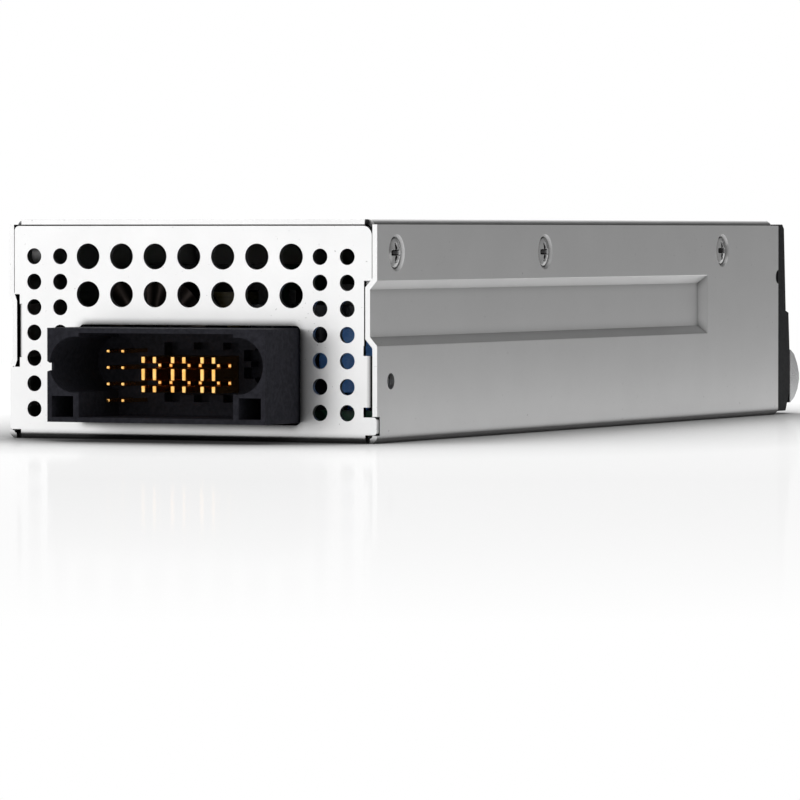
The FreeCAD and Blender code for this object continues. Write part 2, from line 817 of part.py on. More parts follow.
def place(made, x, y, z):
    bind(made, "Placement.Base.x", x)
    bind(made, "Placement.Base.y", y)
    bind(made, "Placement.Base.z", z)
    return made


def block(name, low, high):
    """A box between two opposite corners."""
    made = doc.addObject("Part::Box", name)
    bind(made, "Length", as_size(high[0]) - low[0])
    bind(made, "Width", as_size(high[1]) - low[1])
    bind(made, "Height", as_size(high[2]) - low[2])
    return place(made, *low)


TURN = {
    "X": FreeCAD.Rotation(V(0, 1, 0), 90), "-X": FreeCAD.Rotation(V(0, 1, 0), -90),
    "Y": FreeCAD.Rotation(V(1, 0, 0), -90), "-Y": FreeCAD.Rotation(V(1, 0, 0), 90),
    "Z": FreeCAD.Rotation(), "-Z": FreeCAD.Rotation(V(1, 0, 0), 180)}


def rod(name, radius, length, start, along="Z"):
    """A cylinder from its start point along one of the axes."""
    made = doc.addObject("Part::Cylinder", name)
    bind(made, "Radius", radius)
    bind(made, "Height", length)
    made.Placement = FreeCAD.Placement(V(0, 0, 0), TURN[along])
    return place(made, *start)


def cone(name, first, second, length, start, along="Z"):
    made = doc.addObject("Part::Cone", name)
    bind(made, "Radius1", first)
    bind(made, "Radius2", second)
    bind(made, "Height", length)
    made.Placement = FreeCAD.Placement(V(0, 0, 0), TURN[along])
    return place(made, *start)


def hexagon(name, corner_radius, length, start, along="Z"):
    """A six-sided bar, such as a standoff or the head of a screw."""
    made = doc.addObject("Part::Prism", name)
    made.Polygon = 6
    bind(made, "Circumradius", corner_radius)
    bind(made, "Height", length)
    made.Placement = FreeCAD.Placement(V(0, 0, 0), TURN[along])
    return place(made, *start)


def tube(name, outer, inner, length, start, along="Z"):
    return carved(name, rod(name + "_outside", outer, length, start, along),
                  [rod(name + "_inside", inner, length, start, along)])



# ---------------------------------------------------------------- lid and its screws

def make_lid():
    """The top sheet, whose flanges tuck inside the walls and take the lid screws."""
    on = new_body("lid")
    side = inner_side - fit
    low = flange_low
    inner_bend = wall_bend - steel
    section = sketch(on, "XZ_Plane", out_end)
    outline(section, [
        (-side, low), (steel - side, low), (steel - side, top_under, inner_bend),
        (side - steel, top_under, inner_bend), (side - steel, low), (side, low),
        (side, case_height, wall_bend), (-side, case_height, wall_bend)])
    pad(on, section, case_length, 1)
    inset = steel + lid_gap
    for end, inward in ((out_end, 1), (bay_end, -1)):
        for way in (1, -1):
            corner = sketch(on, "XY_Plane", case_height)
            across = sorted((half * way, (half - lid_corner) * way), key=lambda each: each.value)
            along = sorted((end, end + inset * inward), key=lambda each: each.value)
            rectangle(corner, across[0], across[1], along[0], along[1])
            pocket(on, corner, case_height - flange_low, -1)
    dimples(on, 1, side, shank_radius + thread_clearance)
    dimples(on, -1, side, shank_radius + thread_clearance)
    return on


def lid_screws(name, side):
    """Three flat-headed cross-recess screws, sunk in their dimples."""
    way = "-X" if side > 0 else "X"
    made = []
    tip = head_radius - shank_radius
    for y in screw_places():
        face = (half - head_sink) * side
        head = cone(name + "_head", head_radius, shank_radius, tip, (face, y, screw_height), way)
        root = (half - head_sink - tip) * side
        shank = rod(name + "_shank", shank_radius, shank_length, (root, y, screw_height), way)
        solid = fused(name + "_screw", [head, shank])
        made.append(carved(name + "_piece", solid, cross_recess(name, face, side, y)))
    return group(name, made)


def cross_recess(name, face, side, y):
    """The two crossed slots of a Phillips recess in a screw head."""
    arm = head_radius * 0.6
    slot = head_radius * 0.13
    deep = head_radius * 0.4
    across = sorted((face, face - deep * side), key=lambda each: each.value)
    z = screw_height
    upright = block(name + "_slot", (across[0], y - slot, z - arm), (across[1], y + slot, z + arm))
    level = block(name + "_slot", (across[0], y - arm, z - slot), (across[1], y + arm, z + slot))
    return [upright, level]


# ---------------------------------------------------------------- bezel, lens, handle, latch

def make_bezel():
    """The moulded bezel: bowed face, stepped lower band, grille, inlet mouth and lugs."""
    on = new_body("front_bezel")
    side = half - fit
    profile = sketch(on, "YZ_Plane")
    outline(profile, [
        (bay_end, bezel_low), (bezel_face, bezel_low), (belly_face, bezel_low + bezel_step * 3),
        (belly_face, step_up / 2), (bezel_face + bezel_step, step_up - bezel_belly / 2),
        (bezel_face, step_up), (bay_end + bezel_thin, bezel_high - steel),
        (bay_end + bezel_thin - steel, bezel_high), (bay_end, bezel_high)])
    pad(on, profile, side * 2, middle=True)
    lugs(on)
    open_grille(on)
    mouth = sketch(on, "XZ_Plane", bay_end)
    rectangle(mouth, inlet_x - inlet_mouth_width / 2, inlet_x + inlet_mouth_width / 2,
              inlet_up - inlet_mouth_height / 2, inlet_up + inlet_mouth_height / 2, steel)
    pocket(on, mouth, pivot_out, 1)
    slot = sketch(on, "XZ_Plane", bay_end)
    rectangle(slot, -half, latch_in + latch_swing, latch_low - fit * 5, latch_high + fit * 5)
    pocket(on, slot, pivot_out, 1)
    lens_hole = sketch(on, "XZ_Plane", bay_end)
    ring(lens_hole, lens_x, pivot_up, lens_radius + fit)
    pocket(on, lens_hole, pivot_out, 1)
    for way in (1, -1):
        snap_boss(on, way)
    return on


def snap_boss(on, way):
    """A tongue behind the panel edge with a round boss that snaps into the wall's notch."""
    inside = inner_side - fit
    tongue = sketch(on, "YZ_Plane", inside * way)
    rise = notch_radius
    rectangle(tongue, bay_end - notch_radius * 2, bay_end + bezel_thin / 2,
              notch_up - rise, notch_up + rise)
    pad(on, tongue, steel, -way)
    boss = sketch(on, "YZ_Plane", (inside - steel / 2) * way)
    ring(boss, bay_end, notch_up, notch_radius - fit)
    pad(on, boss, steel / 2 + fit + snap_reach, way)


def lugs(on):
    """Two lugs that hold the handle's pins, just inside its arms."""
    for x, way in ((handle_left + arm_thick + move_gap, 1),
                   (handle_right - lug_inset - arm_thick - move_gap, -1)):
        arm = sketch(on, "YZ_Plane", x)
        reach = pivot_out + lug_radius
        round_end = lug_radius * 0.9
        outline(arm, [(bay_end, pivot_up - lug_radius),
                      (bay_end + reach, pivot_up - lug_radius, round_end),
                      (bay_end + reach, pivot_up + lug_radius, round_end),
                      (bay_end, pivot_up + lug_radius)])
        pad(on, arm, lug_thick, way)
        bore = sketch(on, "YZ_Plane", x)
        ring(bore, swing_y, pivot_up, handle_pin + pin_clearance)
        pocket(on, bore, lug_thick, way)


def open_grille(on):
    """Ring slots in front of the fan, bridged by four spokes."""
    depth = pivot_out + bezel_step * 2
    rings = whole((fan_bore - grille_bar) / (grille_bar + grille_gap))
    slots = sketch(on, "XZ_Plane", bay_end)
    for index in range(int(rings.value)):
        outer = fan_bore - fit - index * (grille_bar + grille_gap)
        ring(slots, fan_x, fan_up, outer)
        ring(slots, fan_x, fan_up, outer - grille_gap)
    pocket(on, slots, depth, 1)
    spokes = sketch(on, "XZ_Plane", bay_end)
    rectangle(spokes, fan_x - grille_bar / 2, fan_x + grille_bar / 2, fan_up - fan_bore, fan_up + fan_bore)
    pad(on, spokes, bezel_thin, 1)
    level = sketch(on, "XZ_Plane", bay_end)
    rectangle(level, fan_x - fan_bore, fan_x + fan_bore, fan_up - grille_bar / 2, fan_up + grille_bar / 2)
    pad(on, level, bezel_thin, 1)


def make_lens():
    start = (lens_x, bay_end + steel, pivot_up)
    return named(rod("status_lens", lens_radius, bezel_thin, start, "Y"), "status_lens")


def make_handle():
    """The pull handle: a domed bar between two arms that hang on the bezel's lugs."""
    on = new_body("handle")
    rear = belly_face + move_gap
    middle = (bar_low + bar_high) / 2
    bar = sketch(on, "YZ_Plane", handle_left)
    outline(bar, [
        (rear, bar_low), (rear + bar_deep * 0.45, bar_low + bar_deep * 0.2),
        (rear + bar_deep * 0.82, bar_low + bar_deep * 0.55), (rear + bar_deep, middle - steel),
        (rear + bar_deep, middle + steel / 2), (rear + bar_deep * 0.78, bar_high - bar_deep * 0.6),
        (rear + bar_deep * 0.42, bar_high - bar_deep * 0.2), (rear, bar_high)])
    pad(on, bar, handle_width, 1)
    top = pivot_up + lug_radius
    back = swing_y - lug_radius
    front = swing_y + lug_radius
    for x, way in ((handle_left, 1), (handle_right - lug_inset, -1)):
        arm = sketch(on, "YZ_Plane", x)
        outline(arm, [
            (rear, bar_low + bar_deep), (rear + arm_deep, bar_low + bar_deep),
            (rear + arm_deep, step_up + bezel_step), (front, pivot_up - lug_radius * 1.6),
            (front, top, lug_radius * 0.9), (back, top, lug_radius * 0.9),
            (back, pivot_up - lug_radius), (rear, step_up + bezel_step)])
        pad(on, arm, arm_thick, way)
        bore = sketch(on, "YZ_Plane", x)
        ring(bore, swing_y, pivot_up, handle_pin + pin_clearance)
        pocket(on, bore, arm_thick, way)
    return on


def make_handle_pins():
    """One pin through each arm and lug."""
    span = arm_thick + move_gap + lug_thick
    left = (handle_left, swing_y, pivot_up)
    right = (handle_right - lug_inset - span, swing_y, pivot_up)
    return group("handle_pins", [
        rod("pin_left", handle_pin, span, left, "X"), rod("pin_right", handle_pin, span, right, "X")])


def make_latch():
    """The release lever: a plate along the wall with a barrel, a wedge tongue and a thumb tab."""
    on = new_body("release_latch")
    plan = sketch(on, "XY_Plane", latch_low)
    tab = latch_tab
    outline(plan, [
        (latch_out, pivot_y), (latch_in, pivot_y), (latch_in, bay_end + tab),
        (latch_out, bay_end + tab)])
    pad(on, plan, latch_high - latch_low, 1)
    barrel = sketch(on, "XY_Plane", latch_low)
    ring(barrel, pivot_x, pivot_y, barrel_radius)
    pad(on, barrel, latch_high - latch_low, 1)
    tongue = sketch(on, "XY_Plane", inlet_up - tongue_height / 2)
    tip = -half - tongue_out
    near = bay_end - tongue_back
    outline(tongue, [
        (latch_in, near), (tip, near), (tip, near - steel), (-half + fit, near - tongue_length),
        (latch_in, near - tongue_length)])
    pad(on, tongue, tongue_height, 1)
    ribs = sketch(on, "XY_Plane", latch_low)
    outline(ribs, [
        (latch_out, bay_end + tab), (latch_out, bay_end + tab - 1), (latch_out - steel, bay_end + tab)])
    pad(on, ribs, latch_high - latch_low, 1)
    bore = sketch(on, "XY_Plane", latch_low)
    ring(bore, pivot_x, pivot_y, latch_pin_radius + pin_clearance)
    pocket(on, bore, latch_high - latch_low, 1)
    return on


def make_latch_pin():
    """A shouldered pin riveted to the floor, with a retaining head over the lever."""
    foot = (pivot_x, pivot_y, steel)
    collar = rod("latch_collar", barrel_radius, latch_low - move_gap - steel, foot)
    stem = rod("latch_stem", latch_pin_radius, latch_high + coil_room - steel, foot)
    top = (pivot_x, pivot_y, latch_high + coil_room)
    head = rod("latch_head", latch_pin_radius + wire * 2, steel, top)
    return fused("latch_pin", [collar, stem, head])


def make_latch_spring():
    """A torsion spring on the pin: three closed turns of wire and two straight legs."""
    outer = latch_pin_radius + fit + wire * 2
    middle = outer - wire
    low = latch_high + move_gap
    turns = []
    for index in range(3):
        level = low + wire * 2 * index
        turns.append(cone("turn_low", middle, outer, wire, (pivot_x, pivot_y, level)))
        turns.append(cone("turn_high", outer, middle, wire, (pivot_x, pivot_y, level + wire)))
    for way, along, level in ((1, "-Y", low + wire), (-1, "Y", low + wire * 5)):
        leg = rod("spring_leg", wire * 0.9, tongue_length, (pivot_x + middle * way, pivot_y, level), along)
        turns.append(leg)
    bore = rod("spring_bore", latch_pin_radius + fit, wire * 6, (pivot_x, pivot_y, low))
    return carved("latch_spring", fused("spring_turns", turns), [bore])


# ---------------------------------------------------------------- fan

def make_fan_frame():
    """Square frame with a round duct, corner holes, and a motor base on four struts."""
    on = new_body("fan_frame")
    start = panel_in - fan_depth - fit
    square = sketch(on, "XZ_Plane", start)
    rectangle(square, fan_left, fan_right, fan_up - fan_size / 2, fan_up + fan_size / 2, fan_size / 12)
    pad(on, square, fan_depth, 1)
    duct = sketch(on, "XZ_Plane", start)
    ring(duct, fan_x, fan_up, fan_bore)
    pocket(on, duct, fan_depth, 1)
    base = sketch(on, "XZ_Plane", start)
    ring(base, fan_x, fan_up, hub_radius)
    pad(on, struts(on, start), fan_strut, 1)
    pad(on, base, fan_strut, 1)
    bearing = sketch(on, "XZ_Plane", start)
    ring(bearing, fan_x, fan_up, bearing_radius)
    pad(on, bearing, fan_depth * 0.6, 1)
    bore = sketch(on, "XZ_Plane", start)
    ring(bore, fan_x, fan_up, shaft_radius + pin_clearance)
    pocket(on, bore, fan_depth * 0.6, 1)
    corner = fan_size / 2 * 0.8
    holes = sketch(on, "XZ_Plane", start)
    for across in (-corner, corner):
        for up in (-corner, corner):
            ring(holes, fan_x + across, fan_up + up, fan_hole)
    pocket(on, holes, fan_depth, 1)
    return on


def struts(on, start):
    drawn = sketch(on, "XZ_Plane", start)
    arm = fan_strut / 2
    reach = fan_bore + fan_strut / 2
    outline(drawn, [
        (fan_x - arm, fan_up - reach), (fan_x + arm, fan_up - reach), (fan_x + arm, fan_up - arm),
        (fan_x + reach, fan_up - arm), (fan_x + reach, fan_up + arm), (fan_x + arm, fan_up + arm),
        (fan_x + arm, fan_up + reach), (fan_x - arm, fan_up + reach), (fan_x - arm, fan_up + arm),
        (fan_x - reach, fan_up + arm), (fan_x - reach, fan_up - arm), (fan_x - arm, fan_up - arm)])
    return drawn


def make_fan_rotor():
    """Hub cup, shaft and twisted blades; the blades are lofted, so this is a plain feature."""
    start = panel_in - fan_depth - fit + fan_strut + move_gap
    deep = fan_depth - fan_strut - move_gap * 3
    hub = Part.makeCylinder(hub_radius.value, deep.value)
    hub = hub.cut(Part.makeCylinder(hub_radius.value - 1, deep.value - 1))
    shaft = Part.makeCylinder(shaft_radius.value, deep.value)
    made = hub.fuse(shaft)
    blade = fan_blade(deep.value)
    for index in range(int(blade_count.value)):
        turned = blade.copy()
        turned.rotate(V(0, 0, 0), V(0, 0, 1), 360.0 * index / int(blade_count.value))
        made = made.fuse(turned)
    rotor = doc.addObject("Part::Feature", "fan_rotor")
    rotor.Shape = made.removeSplitter()
    rotor.Placement = FreeCAD.Placement(V(0, 0, 0), TURN["Y"])
    return place(named(rotor, "fan_rotor"), fan_x, start, fan_up)


def fan_blade(deep):
    """One blade: a twisted plate lofted outward, trimmed to the hub and the duct."""
    sections = []
    tip = fan_bore.value - tip_gap.value
    for radius, twist in ((hub_radius.value * 0.75, 58), (tip + 1, 44)):
        chord = deep * 0.84 / math.sin(math.radians(twist))
        along = V(0, math.cos(math.radians(twist)), math.sin(math.radians(twist))) * chord / 2
        normal = V(0, -math.sin(math.radians(twist)), math.cos(math.radians(twist))) * 0.35
        middle = V(radius, 0, deep / 2)
        corners = [middle + along + normal, middle + normal * 2.2, middle - along + normal,
                   middle - along - normal, middle + normal * 0.2, middle + along - normal]
        sections.append(Part.makePolygon(corners + [corners[0]]))
    blade = Part.makeLoft(sections, True, True)
    blade = blade.common(Part.makeCylinder(tip, deep))
    return blade.cut(Part.makeCylinder(hub_radius.value - 0.5, deep))


def make_fan_coil():
    """The stator winding inside the hub."""
    start = (fan_x, panel_in - fan_depth - fit + fan_strut, fan_up)
    outer = hub_radius - 1 - move_gap * 2
    return named(tube("fan_stator", outer, bearing_radius, fan_depth * 0.4, start, "Y"), "fan_stator")


# ---------------------------------------------------------------- inlet

def make_inlet():
    """The three-blade inlet's moulded body with its recess."""
    on = new_body("ac_inlet")
    front = panel_in - fit
    body = sketch(on, "XZ_Plane", front - inlet_depth)
    rectangle(body, inlet_left, inlet_right, inlet_up - inlet_height / 2, inlet_up + inlet_height / 2,
              steel)
    pad(on, body, inlet_depth, 1)
    recess = sketch(on, "XZ_Plane", front)
    wide = inlet_mouth_width / 2
    tall = inlet_mouth_height / 2
    cut = tall * 0.5
    outline(recess, [
        (inlet_x - wide, inlet_up - tall), (inlet_x + wide, inlet_up - tall),
        (inlet_x + wide, inlet_up + tall - cut), (inlet_x + wide - cut, inlet_up + tall),
        (inlet_x - wide + cut, inlet_up + tall), (inlet_x - wide, inlet_up + tall - cut)])
    pocket(on, recess, inlet_mouth_depth, -1)
    slots = sketch(on, "XZ_Plane", front)
    for across, up in prong_places():
        rectangle(slots, across - prong_thick / 2, across + prong_thick / 2,
                  up - prong_tall / 2, up + prong_tall / 2)
    pocket(on, slots, inlet_depth, -1)
    return on


def prong_places():
    return ((inlet_x - prong_spread, inlet_up - prong_drop),
            (inlet_x + prong_spread, inlet_up - prong_drop), (inlet_x, inlet_up + prong_drop))


def make_inlet_prongs():
    """Line, neutral and earth blades; their tails leave the back of the body."""
    front = panel_in - fit - inlet_mouth_depth + prong_long
    back = panel_in - fit - inlet_depth - 1.5
    made = []
    for across, up in prong_places():
        made.append(block("prong", (across - prong_thick / 2, back, up - prong_tall / 2),
                          (across + prong_thick / 2, front, up + prong_tall / 2)))
    return group("ac_inlet_blades", made)


# ---------------------------------------------------------------- boards

def board_outline(drawn, gap):
    """The board's plan: full width, then a tongue under the inlet beside the fan and latch."""
    outline(drawn, [
        (-board_side - gap, board_back - gap), (board_side + gap, board_back - gap),
        (board_side + gap, fan_back - part_gap * 3 + gap),
        (fan_left - part_gap * 2 + gap, fan_back - part_gap * 3 + gap),
        (fan_left - part_gap * 2 + gap, board_front - part_gap + gap),
        (latch_clear - gap, board_front - part_gap + gap),
        (latch_clear - gap, pivot_y - barrel_radius * 2 + gap),
        (-board_side - gap, pivot_y - barrel_radius * 2 + gap)])


def post_places():
    """The four posts: two beside the connector and two at the far end of the board."""
    inset = post_radius * 2
    near = rows_start - post_radius
    left_far = panel_in - fit - inlet_depth - board_head - part_gap
    right_far = (row_start(4) + emi_long + fan_back - part_gap * 3) / 2
    return ((-board_side + inset, near), (row_right - board_head, row_start(0) + cap_radius),
            (latch_clear + inset, left_far), (board_side - inset, right_far))


def make_board():
    on = new_body("main_board")
    drawn = sketch(on, "XY_Plane", board_under)
    board_outline(drawn, as_size(0))
    pad(on, drawn, board_thick, 1)
    holes = sketch(on, "XY_Plane", board_under)
    for x, y in post_places():
        ring(holes, x, y, board_screw + fit)
    wide = blade_thick / 2 + fit
    long = pin_side / 2 + fit
    for x, y in tail_places():
        rectangle(holes, x - wide, x + wide, y - long, y + long)
    pocket(on, holes, board_thick, 1)
    return on


def make_film():
    """The insulating film on the floor, punched for the posts."""
    on = new_body("insulator_film")
    drawn = sketch(on, "XY_Plane", steel)
    board_outline(drawn, as_size(fit))
    pad(on, drawn, film, 1)
    holes = sketch(on, "XY_Plane", steel)
    for x, y in post_places():
        ring(holes, x, y, post_radius + fit)
    pocket(on, holes, film, 1)
    return on


def make_posts():
    """Hexagonal threaded posts pressed into the floor."""
    made = []
    for x, y in post_places():
        post = hexagon("post_outside", post_radius, post_height, (x, y, steel))
        bore = rod("post_bore", board_screw, post_height, (x, y, steel))
        made.append(carved("post", post, [bore]))
    return group("board_posts", made)


def make_board_screws():
    made = []
    for x, y in post_places():
        head = rod("board_screw_head", board_head, board_head_high, (x, y, board_top))
        shank = rod("board_screw_shank", board_screw - thread_clearance, board_thick + post_height * 0.8,
                    (x, y, board_top - board_thick - post_height * 0.8))
        made.append(fused("board_screw", [head, shank]))
    return group("board_screws", made)


# ---------------------------------------------------------------- output connector

def make_header():
    """The moulded right-angle housing: shroud, guide sockets, contact block and rear body."""
    on = new_body("output_connector")
    front = out_end - header_front
    side = header_width / 2
    wall = header_wall
    shroud = sketch(on, "XZ_Plane", front)
    rectangle(shroud, header_x - side, header_x + side, header_low, header_high)
    pad(on, shroud, header_front + header_back, 1)
    rear = sketch(on, "XZ_Plane", out_end + header_back)
    rectangle(rear, header_x - side, header_x + side, board_top, header_rear_high)
    pad(on, rear, header_rear - header_back, 1)
    cavity = sketch(on, "XZ_Plane", front)
    reach = guide_offset - wall
    rectangle(cavity, header_x - reach, header_x + reach, header_low + wall, header_high - wall)
    pocket(on, cavity, header_deep, 1)
    for way in (-1, 1):
        guide_socket(on, front, way)
    contact_recess(on)
    contact_slots(on)
    return on


def guide_socket(on, front, way):
    """A round socket for a guide post, open to the cavity, over a square coring pocket."""
    bore = sketch(on, "XZ_Plane", front)
    ring(bore, header_x + guide_offset * way, guide_up, guide_radius)
    pocket(on, bore, guide_deep, 1)
    core = sketch(on, "XZ_Plane", front)
    outer = header_x + (header_width / 2 - header_wall) * way
    inner = header_x + (guide_offset + fit * 2) * way
    across = sorted((outer, inner), key=lambda each: each.value)
    rectangle(core, across[0], across[1], header_low + header_wall,
              guide_up - guide_radius - guide_ring)
    pocket(on, core, header_deep, 1)
    key = sketch(on, "XZ_Plane", front)
    rim = header_x + header_width / 2 * way
    if way < 0:
        outline(key, [(rim, guide_up - fit * 11), (rim + header_wall, guide_up - fit * 8),
                      (rim + header_wall, guide_up), (rim, guide_up + fit * 5)])
        pocket(on, key, header_front / 2, 1)


def contact_recess(on):
    """The toothed recess that the blades stand in, and the windows in the ledge beside it."""
    start = out_end - header_front + header_deep
    middle = (keyway_wide - blade_pair) / 2
    lefts = [header_x + blade_first + blade_pitch * pair - middle for pair in range(3)]
    lower = []
    upper = []
    for left in lefts:
        right = left + keyway_wide
        lower.extend([(left, recess_low - keyway), (right, recess_low - keyway),
                      (right, recess_low), (left + blade_pitch, recess_low)])
        upper.extend([(left, recess_high), (left, recess_high + keyway),
                      (right, recess_high + keyway), (right, recess_high)])
    corners = lower[:-2] + upper[::-1][1:-1]
    shape = sketch(on, "XZ_Plane", start)
    outline(shape, corners)
    pocket(on, shape, recess_deep, 1)
    edge = lefts[-1] + keyway_wide + ledge_rib
    windows = sketch(on, "XZ_Plane", start)
    for low in (recess_high - ledge_window, recess_high - ledge_window * 2 - ledge_rib):
        rectangle(windows, edge, edge + ledge_window, low, low + ledge_window)
    pocket(on, windows, recess_deep, 1)


def signal_places():
    """Across and up places of the eight signal pins."""
    return [(header_x + pin_first + column * pin_pitch, pin_low + row * pin_pitch)
            for column in range(2) for row in range(4)]


def blade_places():
    """Across places of the six power blades, in three pairs."""
    return [header_x + blade_first + pair * blade_pitch + side * blade_pair
            for pair in range(3) for side in range(2)]


def tail_places():
    """Where contact tails pass through the board."""
    tails = [(across, tail_y(row)) for column in range(2) for row, (across, up) in
             enumerate(signal_places()[column * 4:column * 4 + 4])]
    return tails + [(across, out_end + header_rear - pin_pitch / 2) for across in blade_places()]


def tail_y(row):
    return out_end + header_rear - pin_pitch / 2 - pin_pitch * (3 - row)


def contact_slots(on):
    """Passages through the contact block that the pins and blades are pressed into."""
    start = out_end - header_front + header_deep
    slots = sketch(on, "XZ_Plane", start)
    reach = pin_side / 2
    for across, up in signal_places():
        rectangle(slots, across - reach, across + reach, up - reach, up + reach)
    for across in blade_places():
        rectangle(slots, across - blade_thick / 2, across + blade_thick / 2, blade_low, blade_high)
    pocket(on, slots, header_rear * 2, 1)
    ducts = sketch(on, "XY_Plane", board_top)
    for across, y in tail_places():
        rectangle(ducts, across - blade_thick / 2, across + blade_thick / 2, y - reach, y + reach)
    pocket(on, ducts, pin_low + pin_pitch * 3 + reach - board_top, 1)


def make_signal_pins():
    """Eight square pins: each runs back through the block and turns down into the board."""
    reach = pin_side / 2
    made = []
    for index, (across, up) in enumerate(signal_places()):
        back = tail_y(index % 4)
        tip = out_end - header_front + header_deep - pin_reach
        level = block("signal_level", (across - reach, tip, up - reach),
                      (across + reach, back + reach, up + reach))
        drop = block("signal_drop", (across - reach, back - reach, board_under - pin_side),
                     (across + reach, back + reach, up + reach))
        made.append(fused("signal_pin", [level, drop]))
    return group("signal_pins", made)


def make_power_blades():
    """Six flat blades, each split into three fingers at the mating end."""
    made = []
    tip = out_end - header_front + header_deep - blade_reach
    back = out_end + header_rear - pin_pitch / 2
    for across in blade_places():
        low = across - blade_thick / 2
        high = across + blade_thick / 2
        plate = block("blade", (low, tip, blade_low), (high, back + pin_side / 2, blade_high))
        gaps = [block("slit", (low, tip, start), (high, tip + blade_reach * 0.7, start + slit))
                for start in (blade_low + finger, blade_high - finger - slit)]
        tail = block("blade_tail", (low, back - pin_side / 2, board_under - pin_side),
                     (high, back + pin_side / 2, blade_low + slit))
        made.append(fused("power_blade", [carved("blade_fingers", plate, gaps), tail]))
    return group("power_blades", made)


# ---------------------------------------------------------------- power components

def leg(name, x, y, top):
    """A square lead that stands on the board and reaches up into its component."""
    side = lead_side / 2
    return block(name, (x - side, y - side, board_top), (x + side, y + side, top))


def make_discs():
    """Two disc safety capacitors beside the connector, each on two leads."""
    made = []
    x = header_x + header_width / 2 + disc_radius + part_gap
    for index in range(2):
        up = board_top + disc_lift + disc_radius + disc_rise * index
        y = board_back + part_gap + (disc_thick + part_gap * 2) * index
        disc = rod("disc", disc_radius, disc_thick, (x, y, up), "Y")
        legs = [leg("disc_leg", x + disc_leads / 2 * way, y + disc_thick / 2, up)
                for way in (-1, 1)]
        made.append(fused("disc_capacitor", [disc] + legs))
    return group("disc_capacitors", made)


def make_output_capacitors():
    """A row of cans with a rolled groove near the foot."""
    made = []
    first = row_right - board_head * 2 - part_gap - cap_radius
    y = row_start(0) + cap_radius
    for index in range(int(cap_count.value)):
        x = first - index * (cap_radius * 2 + part_gap)
        can = rod("can", cap_radius, cap_high, (x, y, board_top))
        groove = tube("can_groove", cap_radius + fit, cap_radius - part_gap, lead_side,
                      (x, y, board_top + cap_radius / 2))
        made.append(carved("output_capacitor", can, [groove]))
    return group("output_capacitors", made)


def behind(centre, along, back):
    """A point some way back from a centre along an axis."""
    x, y, z = centre
    return (x, as_size(y) - back, z) if along == "Y" else (x, y, as_size(z) - back)


def make_choke(name, centre, along, radius, section, gaps):
    """A ring core and the winding round it, parted by straight gaps across the ring."""
    core = tube(name + "_core", radius, radius - section, section,
                behind(centre, along, section / 2), along)
    cover = winding - fit
    shell = tube(name + "_turns", radius + winding, radius - section - winding,
                 section + winding * 2, behind(centre, along, section / 2 + winding), along)
    room = tube(name + "_room", radius + fit, radius - section - fit, section + fit * 2,
                behind(centre, along, section / 2 + fit), along)
    x, y, z = centre
    reach = radius + winding + fit
    deep = section / 2 + winding + fit
    half_gap = cover
    cuts = [room]
    for side in gaps:
        low_x, high_x = (x - reach, x) if side < 0 else (x, x + reach)
        if along == "Y":
            cuts.append(block(name + "_gap", (low_x, y - deep, z - half_gap),
                              (high_x, y + deep, z + half_gap)))
        else:
            cuts.append(block(name + "_gap", (low_x, y - half_gap, z - deep),
                              (high_x, y + half_gap, z + deep)))
    return [core, carved(name + "_winding", shell, cuts)]


def make_transformer(name, left, start, width, length, high, deep, leg, middle):
    """A core with two windows, and the winding round its middle leg."""
    x = left + width / 2
    y = start + length / 2
    core = new_body(name + "_core")
    face = sketch(core, "XZ_Plane", y - deep / 2)
    rectangle(face, left, left + width, board_top, board_top + high)
    for low, far in ((left + leg, x - middle / 2), (x + middle / 2, left + width - leg)):
        rectangle(face, low, far, board_top + leg, board_top + high - leg)
    pad(core, face, deep, 1)
    turns = new_body(name + "_winding")
    ring_of_wire = sketch(turns, "XY_Plane", board_top + leg + part_gap)
    side = width / 2 - leg - part_gap
    rectangle(ring_of_wire, x - side, x + side, start, start + length, leg)
    rectangle(ring_of_wire, x - middle / 2 - part_gap, x + middle / 2 + part_gap,
              y - deep / 2 - part_gap, y + deep / 2 + part_gap)
    pad(turns, ring_of_wire, high - leg * 2 - part_gap * 2, 1)
    return [core, turns]


def device_places(row, count):
    """Where the devices of a row sit along their heatsink."""
    length = row_lengths[row]
    return [row_start(row) + length * (index + 0.5) / count for index in range(count)]


def make_heatsink(name, row, count):
    """An extruded heatsink: an upright plate whose fins run with the air."""
    on = new_body(name)
    start = row_start(row)
    length = row_lengths[row]
    upright = sketch(on, "XZ_Plane", start)
    rectangle(upright, sink_left, sink_left + sink_base, board_top, board_top + sink_high)
    pad(on, upright, length, 1)
    fin = sketch(on, "XZ_Plane", start)
    rectangle(fin, sink_left + sink_base, row_right, board_top + steel,
              board_top + steel + sink_fin)
    first = pad(on, fin, length, 1)
    repeated(on, first, "Z_Axis", sink_high - steel - sink_fin, sink_fins)
    holes = sketch(on, "YZ_Plane", sink_left)
    for y in device_places(row, count):
        ring(holes, y, device_height(), device_screw)
    pocket(on, holes, sink_base, 1)
    return on


def device_height():
    """The height of the screws that hold the devices to their heatsinks."""
    return board_top + device_lift + transistor_high * 0.75


def make_devices(name, row, count, width, thick, legs):
    """Flat-packed devices against a heatsink, each with a screw hole and a row of legs."""
    made = []
    low = board_top + device_lift
    for y in device_places(row, count):
        body = block(name + "_body", (sink_left - thick, y - width / 2, low),
                     (sink_left, y + width / 2, low + transistor_high))
        hole = rod(name + "_hole", device_screw + thread_clearance, thick,
                   (sink_left - thick, y, device_height()), "X")
        pins = []
        for index in range(legs):
            at = y + (index - (legs - 1) / 2) * pin_pitch
            pins.append(leg(name + "_leg", sink_left - thick / 2, at, low))
        made.append(fused(name + "_piece", [carved(name + "_drilled", body, [hole])] + pins))
    return group(name, made)


